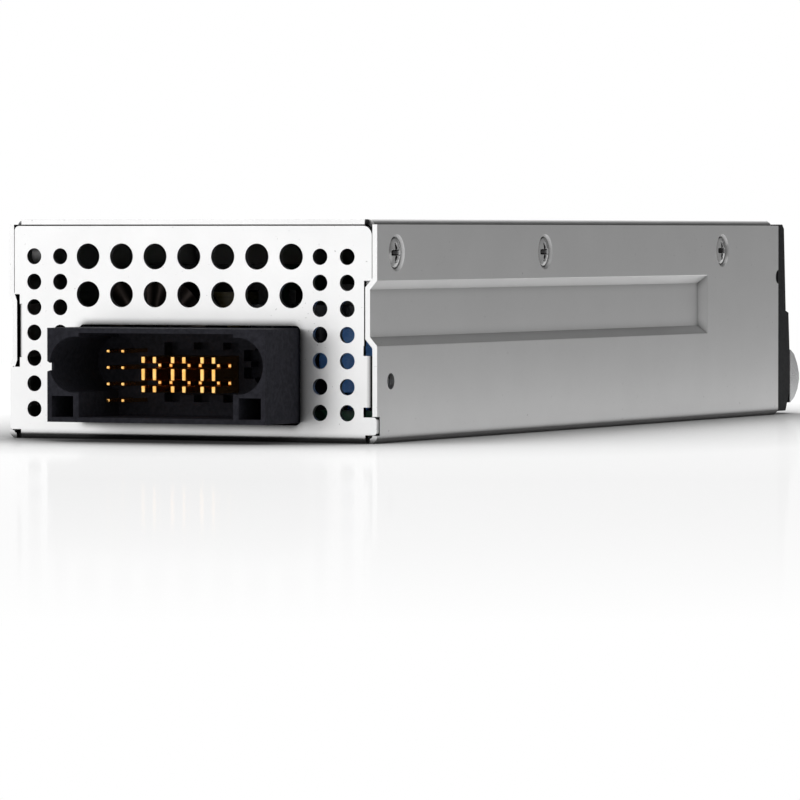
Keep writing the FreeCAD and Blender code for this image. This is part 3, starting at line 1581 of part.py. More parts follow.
def make_device_screws():
    """The screws that clamp the devices to their heatsinks."""
    made = []
    for row, count, thick in ((1, 2, transistor_thick), (2, 2, transistor_thick), (3, 1, bridge_thick)):
        for y in device_places(row, count):
            face = sink_left - thick
            head = hexagon("device_screw_head", device_screw * 2, device_screw,
                           (face - device_screw, y, device_height()), "X")
            shank = rod("device_screw_shank", device_screw - thread_clearance, thick + sink_base,
                        (face, y, device_height()), "X")
            made.append(fused("device_screw", [head, shank]))
    return group("device_screws", made)


def make_bulk_capacitor():
    """The storage capacitor, lying along the board on two bent leads, with a rolled groove."""
    x = row_left + bulk_radius
    up = board_top + bulk_radius
    start = row_start(2)
    can = rod("bulk_can", bulk_radius, bulk_long, (x, start, up), "Y")
    groove = tube("bulk_groove", bulk_radius + fit, bulk_radius - steel, steel * 2,
                  (x, start + bulk_radius / 3, up), "Y")
    back = start - lead_side * 3
    legs = []
    for way in (-1, 1):
        at = x + pin_pitch * 2 * way
        side = lead_side / 2
        level = block("bulk_leg", (at - side, back - side, up - side), (at + side, start + side, up + side))
        legs.extend([level, leg("bulk_drop", at, back, up)])
    return fused("bulk_capacitor", [carved("bulk_body", can, [groove])] + legs)


def make_filter_row():
    """The X capacitor and the fuse in its two clips, beside the line filter choke."""
    start = row_start(4)
    y = start + emi_long / 2
    left = filter_left + (emi_radius + winding) * 2 + part_gap * 3
    box = block("x_capacitor", (left, y - x_deep / 2, board_top),
                (left + x_width, y + x_deep / 2, board_top + x_high))
    capacitor = named(box, "x_capacitor")
    x = row_right - fuse_radius * 2
    up = board_top + fuse_radius + clip_wall * 2
    glass = rod("fuse_glass", fuse_radius - fit, emi_long, (x, start, up), "Y")
    ends = [rod("fuse_end", fuse_radius, fuse_cap, (x, at, up), "Y")
            for at in (start, start + emi_long - fuse_cap)]
    fuse = fused("fuse", [glass] + ends)
    clips = []
    side = fuse_radius + clip_wall
    for at in (start + clip_wall, start + emi_long - fuse_cap + clip_wall):
        outer = block("clip", (x - side, at, board_top), (x + side, at + fuse_cap / 2, up + fuse_radius / 2))
        bore = rod("clip_bore", fuse_radius, fuse_cap, (x, at - clip_wall, up), "Y")
        mouth = block("clip_mouth", (x - fuse_radius + clip_wall, at - clip_wall, up),
                      (x + fuse_radius - clip_wall, at + fuse_cap, up + fuse_radius))
        clips.append(carved("fuse_clip", outer, [bore, mouth]))
    return [capacitor, fuse, group("fuse_clips", clips)]


def make_control_card():
    """The upright control card and the chips on its face."""
    x = row_left + core_width + card_in
    start = row_start(1)
    card = block("control_card", (x, start, board_top),
                 (x + card_thick, start + core_long, board_top + card_high))
    chips = []
    for share, up in ((0.1, 0.55), (0.6, 0.55), (0.35, 0.15)):
        y = start + core_long * share
        z = board_top + card_high * up
        chips.append(block("chip", (x + card_thick, y, z), (x + card_thick + chip_thick, y + chip, z + chip)))
    return [card, group("control_chips", chips)]


def make_fan_lead():
    """The fan's lead: wires from the frame to a plug on the board."""
    x = fan_x - plug_wide / 2
    y = fan_back - part_gap * 3 - plug_deep * 1.5
    plug = block("fan_plug", (x, y, board_top), (x + plug_wide, y + plug_deep, board_top + plug_high))
    wires = []
    count = int(lead_wires.value)
    for index in range(count):
        at = x + plug_wide * (index + 0.5) / count
        wires.append(rod("wire", lead_wire, fan_back - y - plug_deep,
                         (at, y + plug_deep, board_top + plug_high / 2), "Y"))
    return [plug, group("fan_lead", wires)]


# ---------------------------------------------------------------- the parts

def make_parts():
    parts = [make_chassis(), make_lid(), lid_screws("lid_screws_right", 1),
             lid_screws("lid_screws_left", -1), make_bezel(), make_lens(), make_handle(),
             make_handle_pins(), make_latch(), make_latch_pin(), make_latch_spring(),
             make_fan_frame(), make_fan_rotor(), make_fan_coil(), make_inlet(),
             make_inlet_prongs(), make_board(), make_film(), make_posts(), make_board_screws(),
             make_header(), make_signal_pins(), make_power_blades(), make_discs(),
             make_output_capacitors(), make_bulk_capacitor(), make_device_screws()]
    parts += make_choke("output_choke", (row_left + out_choke + winding,
                                         row_start(0) + cap_radius, board_top + out_choke + winding),
                        "Y", out_choke, out_choke_section, (1,))
    parts += make_choke("pfc_choke", (row_left + pfc_radius + winding,
                                      row_start(3) + row_bridge / 2, board_top + pfc_section / 2 + winding),
                        "Z", pfc_radius, pfc_section, (1,))
    parts += make_choke("filter_choke", (filter_left + emi_radius + winding,
                                         row_start(4) + emi_long / 2, board_top + emi_radius + winding),
                        "Y", emi_radius, emi_section, (1, -1))
    parts += make_transformer("transformer", row_left, row_start(1), core_width, core_long,
                              core_high, core_deep, core_leg, core_middle)
    parts += make_transformer("standby_transformer", standby_left,
                              row_start(2) + part_gap, standby_width, standby_long, standby_high,
                              standby_deep, standby_leg, standby_middle)
    parts += [make_heatsink("secondary_heatsink", 1, 2), make_heatsink("primary_heatsink", 2, 2),
              make_heatsink("bridge_heatsink", 3, 1)]
    parts += [make_devices("secondary_transistors", 1, 2, transistor_width, transistor_thick, 3),
              make_devices("primary_transistors", 2, 2, transistor_width, transistor_thick, 3),
              make_devices("bridge_rectifier", 3, 1, bridge_width, bridge_thick, 4)]
    return parts + make_filter_row() + make_control_card() + make_fan_lead()


def check_all():
    """Stop when any object failed or any part is empty or broken."""
    for each in doc.Objects:
        if set(each.State) & {"Invalid", "Error"}:
            raise RuntimeError("%s is not valid" % each.Label)


parts = make_parts()
doc.recompute()
check_all()
os.makedirs("parts", exist_ok=True)
for part in parts:
    if part.Shape.isNull() or not part.Shape.isValid() or not part.Shape.Solids:
        raise RuntimeError("%s has no sound shape" % part.Label)
    part.Shape.exportStep("parts/%s.step" % part.Label)
    print(part.Label, len(part.Shape.Solids), round(part.Shape.Volume, 1))
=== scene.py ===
"""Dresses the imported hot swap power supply: finishes, softened edges, floor, light and camera.

The file follows the unit as it is put together. Lengths are in metres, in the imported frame:
X across the case, Y from the output connector to the bezel, Z up.
"""
import json
import math
import bmesh
import bpy
import numpy as np
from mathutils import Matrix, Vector


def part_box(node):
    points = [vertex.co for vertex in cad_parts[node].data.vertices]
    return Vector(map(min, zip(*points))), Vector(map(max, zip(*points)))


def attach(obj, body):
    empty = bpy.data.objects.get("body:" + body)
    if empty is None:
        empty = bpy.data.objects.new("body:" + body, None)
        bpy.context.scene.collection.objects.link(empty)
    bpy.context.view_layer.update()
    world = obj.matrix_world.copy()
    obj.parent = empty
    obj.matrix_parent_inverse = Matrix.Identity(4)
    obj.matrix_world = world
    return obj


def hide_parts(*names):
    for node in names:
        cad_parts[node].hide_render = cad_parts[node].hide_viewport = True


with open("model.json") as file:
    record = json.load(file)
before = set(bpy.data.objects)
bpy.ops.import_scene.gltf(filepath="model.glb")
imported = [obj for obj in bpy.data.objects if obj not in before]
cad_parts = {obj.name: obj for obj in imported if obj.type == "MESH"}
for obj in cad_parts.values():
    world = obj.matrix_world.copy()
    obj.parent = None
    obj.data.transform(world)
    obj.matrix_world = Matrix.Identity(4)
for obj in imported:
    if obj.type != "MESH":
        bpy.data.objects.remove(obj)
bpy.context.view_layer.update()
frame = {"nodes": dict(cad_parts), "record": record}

# ---------------------------------------------------------------- sheet steel case and lid
# Electro-galvanised sheet, folded and pierced. It is bright and nearly even, with a faint
# clouding from the zinc, stray dark specks and pierced edges broken by a tenth of a millimetre.


def material(name, colour, metallic, roughness, **sockets):
    """A Principled material; further sockets are named with underscores for spaces."""
    made = bpy.data.materials.new(name)
    made.use_nodes = True
    shader = made.node_tree.nodes["Principled BSDF"]
    shader.inputs["Base Color"].default_value = (*colour, 1.0)
    shader.inputs["Metallic"].default_value = metallic
    shader.inputs["Roughness"].default_value = roughness
    for socket, value in sockets.items():
        shader.inputs[socket.replace("_", " ")].default_value = value
    return made


def object_space(made, stretch=(1.0, 1.0, 1.0), centre=(0.0, 0.0, 0.0), turn=(0.0, 0.0, 0.0)):
    """Object coordinates counted from a centre, turned, then scaled, so grain can be stretched."""
    nodes, links = made.node_tree.nodes, made.node_tree.links
    where = nodes.new("ShaderNodeTexCoord").outputs["Object"]
    if any(centre):
        moved = nodes.new("ShaderNodeVectorMath")
        moved.operation = "SUBTRACT"
        moved.inputs[1].default_value = centre
        links.new(where, moved.inputs[0])
        where = moved.outputs[0]
    mapping = nodes.new("ShaderNodeMapping")
    mapping.inputs["Scale"].default_value = stretch
    mapping.inputs["Rotation"].default_value = turn
    links.new(where, mapping.inputs["Vector"])
    return mapping.outputs["Vector"]


def grain(made, scale, detail=3.0, stretch=(1.0, 1.0, 1.0)):
    """Noise with a given number of features per metre, running 0 to 1."""
    noise = made.node_tree.nodes.new("ShaderNodeTexNoise")
    noise.inputs["Scale"].default_value = scale
    noise.inputs["Detail"].default_value = detail
    noise.inputs["Roughness"].default_value = 0.55
    made.node_tree.links.new(object_space(made, stretch), noise.inputs["Vector"])
    return noise.outputs["Fac"]


def spread(made, value, stops):
    """A colour ramp over a value; stops are (position, grey or colour)."""
    ramp = made.node_tree.nodes.new("ShaderNodeValToRGB")
    points = ramp.color_ramp.elements
    while len(points) < len(stops):
        points.new(0.5)
    for point, (position, colour) in zip(points, stops):
        shade = (colour,) * 3 if isinstance(colour, (int, float)) else colour
        point.position = position
        point.color = (*shade, 1.0)
    made.node_tree.links.new(value, ramp.inputs["Fac"])
    return ramp.outputs["Color"]


def times(made, first, second):
    """Two colours multiplied."""
    mix = made.node_tree.nodes.new("ShaderNodeMix")
    mix.data_type = "RGBA"
    mix.blend_type = "MULTIPLY"
    mix.inputs["Factor"].default_value = 1.0
    made.node_tree.links.new(first, mix.inputs["A"])
    made.node_tree.links.new(second, mix.inputs["B"])
    return mix.outputs["Result"]


def painted_crease_shade(made, reach, darkest):
    """Painted shade in seams and recesses, set by how near other surfaces are: falls from 1 where
    nothing is within reach.
    """
    hidden = made.node_tree.nodes.new("ShaderNodeAmbientOcclusion")
    hidden.inputs["Distance"].default_value = reach
    return spread(made, hidden.outputs["AO"], [(0.62, darkest), (0.97, 1.0)])


def feed(made, output, socket):
    """Lead a node's output into a socket of the material's shader."""
    made.node_tree.links.new(output, made.node_tree.nodes["Principled BSDF"].inputs[socket])


def bump(made, height, strength, distance):
    """Raise the surface by a height pattern, distance in metres."""
    node = made.node_tree.nodes.new("ShaderNodeBump")
    node.inputs["Strength"].default_value = strength
    node.inputs["Distance"].default_value = distance
    made.node_tree.links.new(height, node.inputs["Height"])
    feed(made, node.outputs["Normal"], "Normal")


WELD, FLAT_ENOUGH, AREA_WEIGHT = 2e-6, math.radians(0.5), 80


def softened(node, width, segments=2, angle=30, reshape=None):
    """A copy of a CAD node with its points merged and its sharp edges rounded, in its place.

    Edges that turn by more than the angle, in degrees, are rounded over the width, in metres.
    Flat faces keep their own normals, by weighting each corner's normal with its faces' areas.
    """
    source = frame["nodes"][node]
    mesh = source.data.copy()
    work = bmesh.new()
    work.from_mesh(mesh)
    bmesh.ops.remove_doubles(work, verts=work.verts, dist=WELD)
    bmesh.ops.dissolve_limit(work, angle_limit=FLAT_ENOUGH, verts=work.verts, edges=work.edges)
    if reshape:
        reshape(work)
    work.to_mesh(mesh)
    work.free()
    piece = bpy.data.objects.new(node + "_finished", mesh)
    mesh.shade_smooth()
    mesh.set_sharp_from_angle(angle=math.radians(angle))
    round_over = piece.modifiers.new("broken edges", "BEVEL")
    round_over.width = width
    round_over.segments = segments
    round_over.limit_method = "ANGLE"
    round_over.angle_limit = math.radians(angle)
    even = piece.modifiers.new("flat faces", "WEIGHTED_NORMAL")
    even.keep_sharp = True
    even.weight = AREA_WEIGHT
    return stand_for(piece, node)


def stand_for(piece, node):
    """Put a piece in a CAD node's place: on its body, with the CAD node hidden."""
    bpy.context.scene.collection.objects.link(piece)
    bodies = frame["record"]["behaviour"]["bodies"]
    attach(piece, [body for body, names in bodies.items() if node in names][0])
    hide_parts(node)
    return piece


def wear(piece, made):
    """Give a piece its material."""
    piece.data.materials.clear()
    piece.data.materials.append(made)


BROKEN_EDGE, SEAM_REACH, SEAM_SHADE = 0.00009, 0.0017, 0.08
case_steel = material("galvanised_sheet", (0.66, 0.66, 0.66), 1.0, 0.36)
clouding = spread(case_steel, grain(case_steel, 90, 3.0), [(0.3, 0.65), (0.7, 0.675)])
specks = spread(case_steel, grain(case_steel, 1900, 2.0), [(0.735, 1.0), (0.78, 0.5)])
sheet_shade = times(case_steel, clouding, specks)
# Painted shade: the sheet's colour darkens in seams, recesses and the screws' dimples.
seams = painted_crease_shade(case_steel, SEAM_REACH, SEAM_SHADE)
feed(case_steel, times(case_steel, sheet_shade, seams), "Base Color")
feed(case_steel, spread(case_steel, grain(case_steel, 160, 4.0), [(0.3, 0.345), (0.7, 0.375)]),
     "Roughness")
bump(case_steel, grain(case_steel, 1400, 3.0), 0.1, 0.000006)


CHANNEL_DEEP, CHANNEL_LOW, CHANNEL_HIGH, CHANNEL_BACK = 0.0012, 0.010, 0.0256, 0.052
BEND_LEAST, BEND_MOST, BEND_RADIUS, SHORTEST_BEND = 0.3, 1.2, 0.0003, 0.001


def pressed(work):
    """Round the bends of the two pressed channels, which run back from the output plate."""
    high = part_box("chassis")[1]
    bends = []
    for edge in work.edges:
        ends = [point.co for point in edge.verts]
        if (len(edge.link_faces) == 2 and edge.calc_length() > SHORTEST_BEND
                and all(abs(end.x) > high.x - CHANNEL_DEEP and end.y < CHANNEL_BACK
                        and CHANNEL_LOW < end.z < CHANNEL_HIGH for end in ends)
                and BEND_LEAST < edge.calc_face_angle() < BEND_MOST):
            bends.append(edge)
    bmesh.ops.bevel(work, geom=bends, offset=BEND_RADIUS, segments=3, profile=0.5,
                    affect="EDGES", clamp_overlap=True)


wear(softened("chassis", BROKEN_EDGE, reshape=pressed), case_steel)
wear(softened("lid", BROKEN_EDGE), case_steel)

# ---------------------------------------------------------------- lid screws
# Six zinc plated countersunk screws with crossed recesses. They are headed and rolled, so the
# head has a slight crown, a rounded rim and a recess that deepens towards its middle.

plated_steel = material("plated_steel", (0.62, 0.62, 0.62), 1.0, 0.15)
plating = spread(plated_steel, grain(plated_steel, 700, 3.0), [(0.35, 0.55), (0.65, 0.66)])
# Painted shade: the screws' colour darkens in their crossed recesses and round their rims.
feed(plated_steel, times(plated_steel, plating, painted_crease_shade(plated_steel, 0.0009, 0.06)), "Base Color")
feed(plated_steel, spread(plated_steel, grain(plated_steel, 2100, 2.0), [(0.3, 0.11), (0.7, 0.19)]),
     "Roughness")
bump(plated_steel, grain(plated_steel, 2100, 2.0), 0.3, 0.000004)
CROWN, RIM, RECESS_DEEP = 0.0003, 0.00034, 0.0011
RECESS_REACH, RECESS_HALF = 0.62, 0.17  # shares of the head's radius
SHANK_SHARE, CONE_SHARE, TIP_SHARE = 0.49, 0.6, 0.8
SCREWS_APART, ROUND_UNDER = 0.005, math.radians(38)


def lid_screw(radius, shank, length, rings=26, angles=96):
    """A countersunk screw about +Z, its rim at height 0, as a grid of rings and angles.

    The outline goes out along the crown, crown * (1 - (r / R)^2), round the rim in a quarter
    circle, down the 45 degree cone and along the shank to its tip. The recess takes from the
    crown a depth that falls off along each arm and across it, so its floor slopes to the middle.
    """
    share = np.linspace(0.0, 1.0, rings) ** 0.8
    crown_r = share * (radius - RIM)
    crown_z = CROWN * (1 - share ** 2)
    bend = np.linspace(0.0, math.pi / 2, 5)[1:]
    rim_r = radius - RIM + RIM * np.sin(bend)
    rim_z = RIM * (np.cos(bend) - 1)
    cone = radius - shank
    side_r = np.array([shank, shank, shank * TIP_SHARE, 0.0])
    side_z = -RIM - np.array([cone, cone + length * 0.9, cone + length, cone + length])
    r = np.concatenate([crown_r, rim_r, side_r])[:, None]
    z = np.concatenate([crown_z, rim_z, side_z])[:, None]
    turn = np.linspace(0.0, 2 * math.pi, angles, endpoint=False)[None, :]
    off_arm = r * np.minimum(np.abs(np.sin(turn)), np.abs(np.cos(turn)))
    along = np.clip((RECESS_REACH - r / radius) / RECESS_REACH * 2.2, 0, 1)
    across = np.clip((RECESS_HALF - off_arm / radius) / RECESS_HALF * 3, 0, 1)
    top = (np.arange(len(r)) < rings)[:, None]
    height = z - RECESS_DEEP * along * across * top
    return np.stack([r * np.cos(turn), r * np.sin(turn), height + 0 * turn], axis=-1)


def grid_faces(rings, angles):
    """Quads between neighbouring rings of a grid that closes on itself round its angles."""
    row, column = np.meshgrid(np.arange(rings - 1), np.arange(angles), indexing="ij")
    after = (column + 1) % angles
    return np.stack([row * angles + column, (row + 1) * angles + column,
                     (row + 1) * angles + after, row * angles + after], axis=-1).reshape(-1, 4)


def screw_row(node, side):
    """One piece with a screw at each place where the CAD node has one, pointing into the case."""
    mesh = frame["nodes"][node].data
    points = np.empty(len(mesh.vertices) * 3)
    mesh.vertices.foreach_get("co", points)
    points = points.reshape(-1, 3)
    order = np.sort(points[:, 1])
    parts = np.split(order, np.where(np.diff(order) > SCREWS_APART)[0] + 1)
    low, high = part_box(node)
    radius = (high[2] - low[2]) / 2
    face = high[0] if side > 0 else low[0]
    length = abs(high[0] - low[0]) - radius * CONE_SHARE
    single = lid_screw(radius, radius * SHANK_SHARE, length)
    rings, angles = single.shape[:2]
    shells = []
    for part in parts:
        x = face + side * single[..., 2]
        y = (part[0] + part[-1]) / 2 - side * single[..., 0]
        z = (low[2] + high[2]) / 2 + single[..., 1]
        shells.append(np.stack([x, y, z], axis=-1).reshape(-1, 3))
    faces = np.concatenate([grid_faces(rings, angles)[:, ::-1] + index * rings * angles
                            for index in range(len(parts))])
    made = bpy.data.meshes.new(node)
    made.from_pydata(np.concatenate(shells), [], faces.tolist())
    work = bmesh.new()
    work.from_mesh(made)
    bmesh.ops.remove_doubles(work, verts=work.verts, dist=1e-7)
    bmesh.ops.recalc_face_normals(work, faces=work.faces)
    work.to_mesh(made)
    work.free()
    made.shade_smooth()
    made.set_sharp_from_angle(angle=ROUND_UNDER)
    return stand_for(bpy.data.objects.new(node + "_finished", made), node)


for node, side in (("lid_screws_right", 1), ("lid_screws_left", -1)):
    wear(screw_row(node, side), plated_steel)

# ---------------------------------------------------------------- pins, posts and inner screws
# Turned and plated steel: the handle's and the latch's pins, the board's posts and screws, the
# screws that clamp the power devices, and the latch's spring of drawn wire.


def finish(name, shades, metallic, roughness, scale, relief, stretch=(1.0, 1.0, 1.0), **sockets):
    """A finish whose colour drifts between two shades and whose roughness drifts with it.

    scale is the number of grains in a metre and relief the depth of the grain in metres.
    """
    made = material(name, shades[0], metallic, roughness[0], **sockets)
    broad = grain(made, scale, 3.0, stretch)
    fine = grain(made, scale * 3, 2.0, stretch)
    feed(made, spread(made, broad, [(0.35, shades[0]), (0.65, shades[1])]), "Base Color")
    feed(made, spread(made, fine, [(0.3, roughness[0]), (0.7, roughness[1])]), "Roughness")
    bump(made, fine, 0.3, relief)
    return made


turned_steel = finish("turned_steel", [(0.60, 0.60, 0.61), (0.70, 0.70, 0.70)], 1.0, (0.2, 0.34),
                      500, 0.000006, stretch=(1.0, 1.0, 4.0))
spring_wire = finish("spring_wire", [(0.42, 0.42, 0.43), (0.55, 0.55, 0.55)], 1.0, (0.22, 0.32),
                     900, 0.000004)
for node in ("latch_pin", "handle_pins"):
    wear(softened(node, 0.00015), turned_steel)
for node in ("board_posts", "board_screws", "device_screws"):
    wear(frame["nodes"][node], turned_steel)
wear(frame["nodes"]["latch_spring"], spring_wire)

# ---------------------------------------------------------------- bezel and status lens
# The bezel is moulded in black plastic with a fine spark-eroded texture; it snaps over the end
# of the case. The lens is a clear moulding pressed in from the front over a light pipe.

bezel_black = finish("bezel_black", [(0.007, 0.007, 0.008), (0.012, 0.012, 0.013)], 0.0,
                     (0.42, 0.55), 1100, 0.00002, Specular_IOR_Level=0.06)
wear(softened("front_bezel", 0.0002, 3), bezel_black)
lens_clear = finish("lens_clear", [(0.50, 0.58, 0.52), (0.60, 0.66, 0.61)], 0.0, (0.1, 0.16),
                    400, 0.000005, Transmission_Weight=0.55, IOR=1.49)
wear(softened("status_lens", 0.0003, 3), lens_clear)

# ---------------------------------------------------------------- handle and release latch
# The handle is die cast, tumbled and plated to a satin silver; its domed bar and arms are
# rounded all over. The latch is stamped steel with a folded thumb tab, plated the same way.

satin_cast = finish("satin_cast", [(0.54, 0.54, 0.55), (0.60, 0.60, 0.60)], 1.0, (0.2, 0.26),
                    350, 0.000003)
wear(softened("handle", 0.0009, 4, 14), satin_cast)
latch_plate = finish("latch_plate", [(0.68, 0.68, 0.69), (0.78, 0.78, 0.78)], 1.0, (0.26, 0.38),
                     600, 0.000008, stretch=(1.0, 0.15, 1.0))
wear(softened("release_latch", 0.00025, 3), latch_plate)

# ---------------------------------------------------------------- output connector
# Glass filled black moulding, matt and nearly without sheen, with gold plated contacts stamped
# from strip: eight square pins with coined tips and six blades slit into three fingers.

connector_black = finish("connector_black", [(0.016, 0.016, 0.020), (0.025, 0.025, 0.031)], 0.0,
                         (0.5, 0.64), 1500, 0.000015, Specular_IOR_Level=0.03)


KEY_WALL, KEY_LOW, KEY_HIGH, NICK_DEEP = 0.0022, 0.0085, 0.0135, 0.0014
KEY_END_NEAR, KEY_END_FAR = 0.004, 0.008


def nicked(work):
    """Shorten the keyway in the housing's left wall, so that it is a nick at the mouth."""
    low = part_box("output_connector")[0]
    for point in work.verts:
        if (point.co.x < low.x + KEY_WALL and KEY_LOW < point.co.z < KEY_HIGH
                and low.y + KEY_END_NEAR < point.co.y < low.y + KEY_END_FAR):
            point.co.y = low.y + NICK_DEEP


wear(softened("output_connector", BROKEN_EDGE, reshape=nicked), connector_black)
contact_gold = finish("contact_gold", [(0.86, 0.42, 0.10), (0.95, 0.56, 0.19)], 1.0, (0.14, 0.22),
                      800, 0.000004)
wear(softened("signal_pins", 0.00018, 3), contact_gold)
wear(softened("power_blades", 0.00016, 3), contact_gold)

# ---------------------------------------------------------------- mains inlet
# The inlet's body is moulded in black plastic and clamped behind the bay panel; its three
# blades are stamped brass, nickel plated, and run on as tails behind the body.

inlet_black = finish("inlet_black", [(0.012, 0.012, 0.013), (0.020, 0.020, 0.022)], 0.0,
                     (0.32, 0.44), 900, 0.000018)
wear(softened("ac_inlet", 0.0003, 3), inlet_black)
nickel = finish("nickel_plate", [(0.66, 0.63, 0.58), (0.74, 0.71, 0.66)], 1.0, (0.16, 0.26),
                450, 0.000005)
wear(softened("ac_inlet_blades", 0.0005, 3), nickel)

# ---------------------------------------------------------------- fan
# Frame, rotor and the lead's plug are moulded in glass filled black plastic, the rotor a little
# glossier; the stator is wound with enamelled copper and the lead's wires are sleeved in black.

fan_black = finish("fan_black", [(0.014, 0.014, 0.015), (0.024, 0.024, 0.026)], 0.0, (0.36, 0.5),
                   700, 0.00002)
rotor_black = finish("rotor_black", [(0.012, 0.012, 0.013), (0.018, 0.018, 0.02)], 0.0,
                     (0.22, 0.32), 500, 0.000012)
sleeve_black = finish("sleeve_black", [(0.02, 0.02, 0.022), (0.032, 0.032, 0.034)], 0.0,
                      (0.28, 0.4), 800, 0.00001)
wear(softened("fan_frame", 0.0002), fan_black)
wear(frame["nodes"]["fan_rotor"], rotor_black)
wear(frame["nodes"]["fan_plug"], fan_black)
wear(frame["nodes"]["fan_lead"], sleeve_black)

# ---------------------------------------------------------------- wound components
# Ring chokes and transformers: ferrite or powder cores, painted dark, under enamelled wire laid
# turn by turn, or under polyester tape round the transformers' windings.


def wound(name, node, axis, turns, shades):
    """Enamelled wire wound through a ring: the turns are a sine of the angle about its axis, with
    painted shade in the grooves between turns and a painted highlight on their crests.
    """
    made = material(name, shades[0], 1.0, 0.3)
    low, high = (Vector(corner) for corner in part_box(node))
    turn = (math.radians(90), 0.0, 0.0) if axis == "Y" else (0.0, 0.0, 0.0)
    angle = made.node_tree.nodes.new("ShaderNodeTexGradient")
    angle.gradient_type = "RADIAL"
    where = object_space(made, centre=tuple((low + high) / 2), turn=turn)
    made.node_tree.links.new(where, angle.inputs["Vector"])
    beat = made.node_tree.nodes.new("ShaderNodeMath")
    beat.operation = "MULTIPLY"
    beat.inputs[1].default_value = turns * 2 * math.pi
    wave = made.node_tree.nodes.new("ShaderNodeMath")
    wave.operation = "SINE"
    half = made.node_tree.nodes.new("ShaderNodeMapRange")
    half.inputs["From Min"].default_value = -1.0
    made.node_tree.links.new(angle.outputs["Fac"], beat.inputs[0])
    made.node_tree.links.new(beat.outputs[0], wave.inputs[0])
    made.node_tree.links.new(wave.outputs[0], half.inputs["Value"])
    rounds = half.outputs["Result"]
    # Painted shade between the turns, down to a quarter of the enamel's colour, and a painted
    # highlight on each crest.
    feed(made, spread(made, rounds, [(0.0, [part * 0.25 for part in shades[0]]), (0.55, shades[0]),
                                     (1.0, shades[1])]), "Base Color")
    bump(made, rounds, 0.6, 0.0003)
    return made


dark_enamel = [(0.030, 0.024, 0.022), (0.060, 0.048, 0.044)]
red_enamel = [(0.34, 0.13, 0.06), (0.46, 0.19, 0.09)]
for node, axis, turns, shades in (("output_choke_winding", "Y", 22, dark_enamel),
                                  ("filter_choke_winding", "Y", 30, red_enamel),
                                  ("pfc_choke_winding", "Z", 44, red_enamel),
                                  ("fan_stator", "Y", 40, red_enamel)):
    wear(frame["nodes"][node], wound(node + "_wire", node, axis, turns, shades))
ferrite = finish("ferrite", [(0.020, 0.020, 0.021), (0.038, 0.038, 0.04)], 0.0, (0.45, 0.62),
                 1600, 0.00002)
powder_core = finish("powder_core", [(0.012, 0.05, 0.045), (0.02, 0.075, 0.065)], 0.0,
                     (0.4, 0.55), 900, 0.00002)
for node in ("transformer_core", "standby_transformer_core", "filter_choke_core"):
    wear(frame["nodes"][node], ferrite)
for node in ("output_choke_core", "pfc_choke_core"):
    wear(frame["nodes"][node], powder_core)
winding_tape = finish("winding_tape", [(0.16, 0.13, 0.06), (0.24, 0.20, 0.09)], 0.0, (0.24, 0.34),
                      260, 0.00004, stretch=(1.0, 1.0, 6.0))
for node in ("transformer_winding", "standby_transformer_winding"):
    wear(frame["nodes"][node], winding_tape)

# ---------------------------------------------------------------- capacitors and fuse
# Aluminium cans in dark sleeves, blue dipped ceramic discs, a boxed film capacitor, and a glass
# fuse in two sprung clips.

can_sleeve = finish("can_sleeve", [(0.016, 0.017, 0.024), (0.028, 0.03, 0.04)], 0.0, (0.2, 0.3),
                    240, 0.00001, stretch=(1.0, 1.0, 0.3))
for node in ("output_capacitors", "bulk_capacitor"):
    wear(softened(node, 0.0004, 3), can_sleeve)
dipped_blue = finish("dipped_blue", [(0.10, 0.30, 0.78), (0.16, 0.40, 0.90)], 0.0, (0.2, 0.34),
                     420, 0.00003, Coat_Weight=0.3)
wear(softened("disc_capacitors", 0.0012, 5), dipped_blue)
boxed_film = finish("boxed_film", [(0.50, 0.33, 0.06), (0.60, 0.42, 0.10)], 0.0, (0.3, 0.42),
                    380, 0.000015)
wear(softened("x_capacitor", 0.0005, 3), boxed_film)
fuse_glass = finish("fuse_glass", [(0.62, 0.64, 0.62), (0.74, 0.76, 0.74)], 0.0, (0.06, 0.14),
                    300, 0.000005, Transmission_Weight=0.5)
wear(frame["nodes"]["fuse"], fuse_glass)
wear(frame["nodes"]["fuse_clips"], nickel)

# ---------------------------------------------------------------- boards and insulating film
# Glass laminate under green solder mask, with the copper pours showing a shade lighter, over a
# milky polyester film that keeps the board's underside off the floor of the case.

solder_mask = material("solder_mask", (0.012, 0.075, 0.04), 0.0, 0.3, Coat_Weight=0.2)
pours = spread(solder_mask, grain(solder_mask, 210, 0.0),
               [(0.46, (0.008, 0.05, 0.028)), (0.48, (0.02, 0.11, 0.06))])
weave = spread(solder_mask, grain(solder_mask, 1800, 2.0), [(0.3, 0.85), (0.7, 1.0)])
feed(solder_mask, times(solder_mask, pours, weave), "Base Color")
bump(solder_mask, grain(solder_mask, 210, 0.0), 0.2, 0.00003)
for node in ("main_board", "control_card"):
    wear(frame["nodes"][node], solder_mask)
milky_film = finish("milky_film", [(0.50, 0.49, 0.44), (0.60, 0.58, 0.53)], 0.0, (0.22, 0.34),
                    300, 0.00001)
wear(frame["nodes"]["insulator_film"], milky_film)

# ---------------------------------------------------------------- heatsinks and devices
# Extruded aluminium heatsinks with draw lines along their fins, and the moulded power devices
# and chips, matt black with a fine grain, that are clamped or soldered to them.

extruded = finish("extruded_aluminium", [(0.60, 0.60, 0.61), (0.74, 0.74, 0.75)], 1.0,
                  (0.28, 0.42), 420, 0.00001, stretch=(1.0, 0.03, 1.0))
for node in ("secondary_heatsink", "primary_heatsink", "bridge_heatsink"):
    wear(softened(node, 0.00015), extruded)
moulding = finish("device_moulding", [(0.012, 0.012, 0.013), (0.022, 0.022, 0.023)], 0.0,
                  (0.48, 0.62), 1800, 0.000015)
for node in ("secondary_transistors", "primary_transistors", "bridge_rectifier", "control_chips"):
    wear(frame["nodes"][node], moulding)
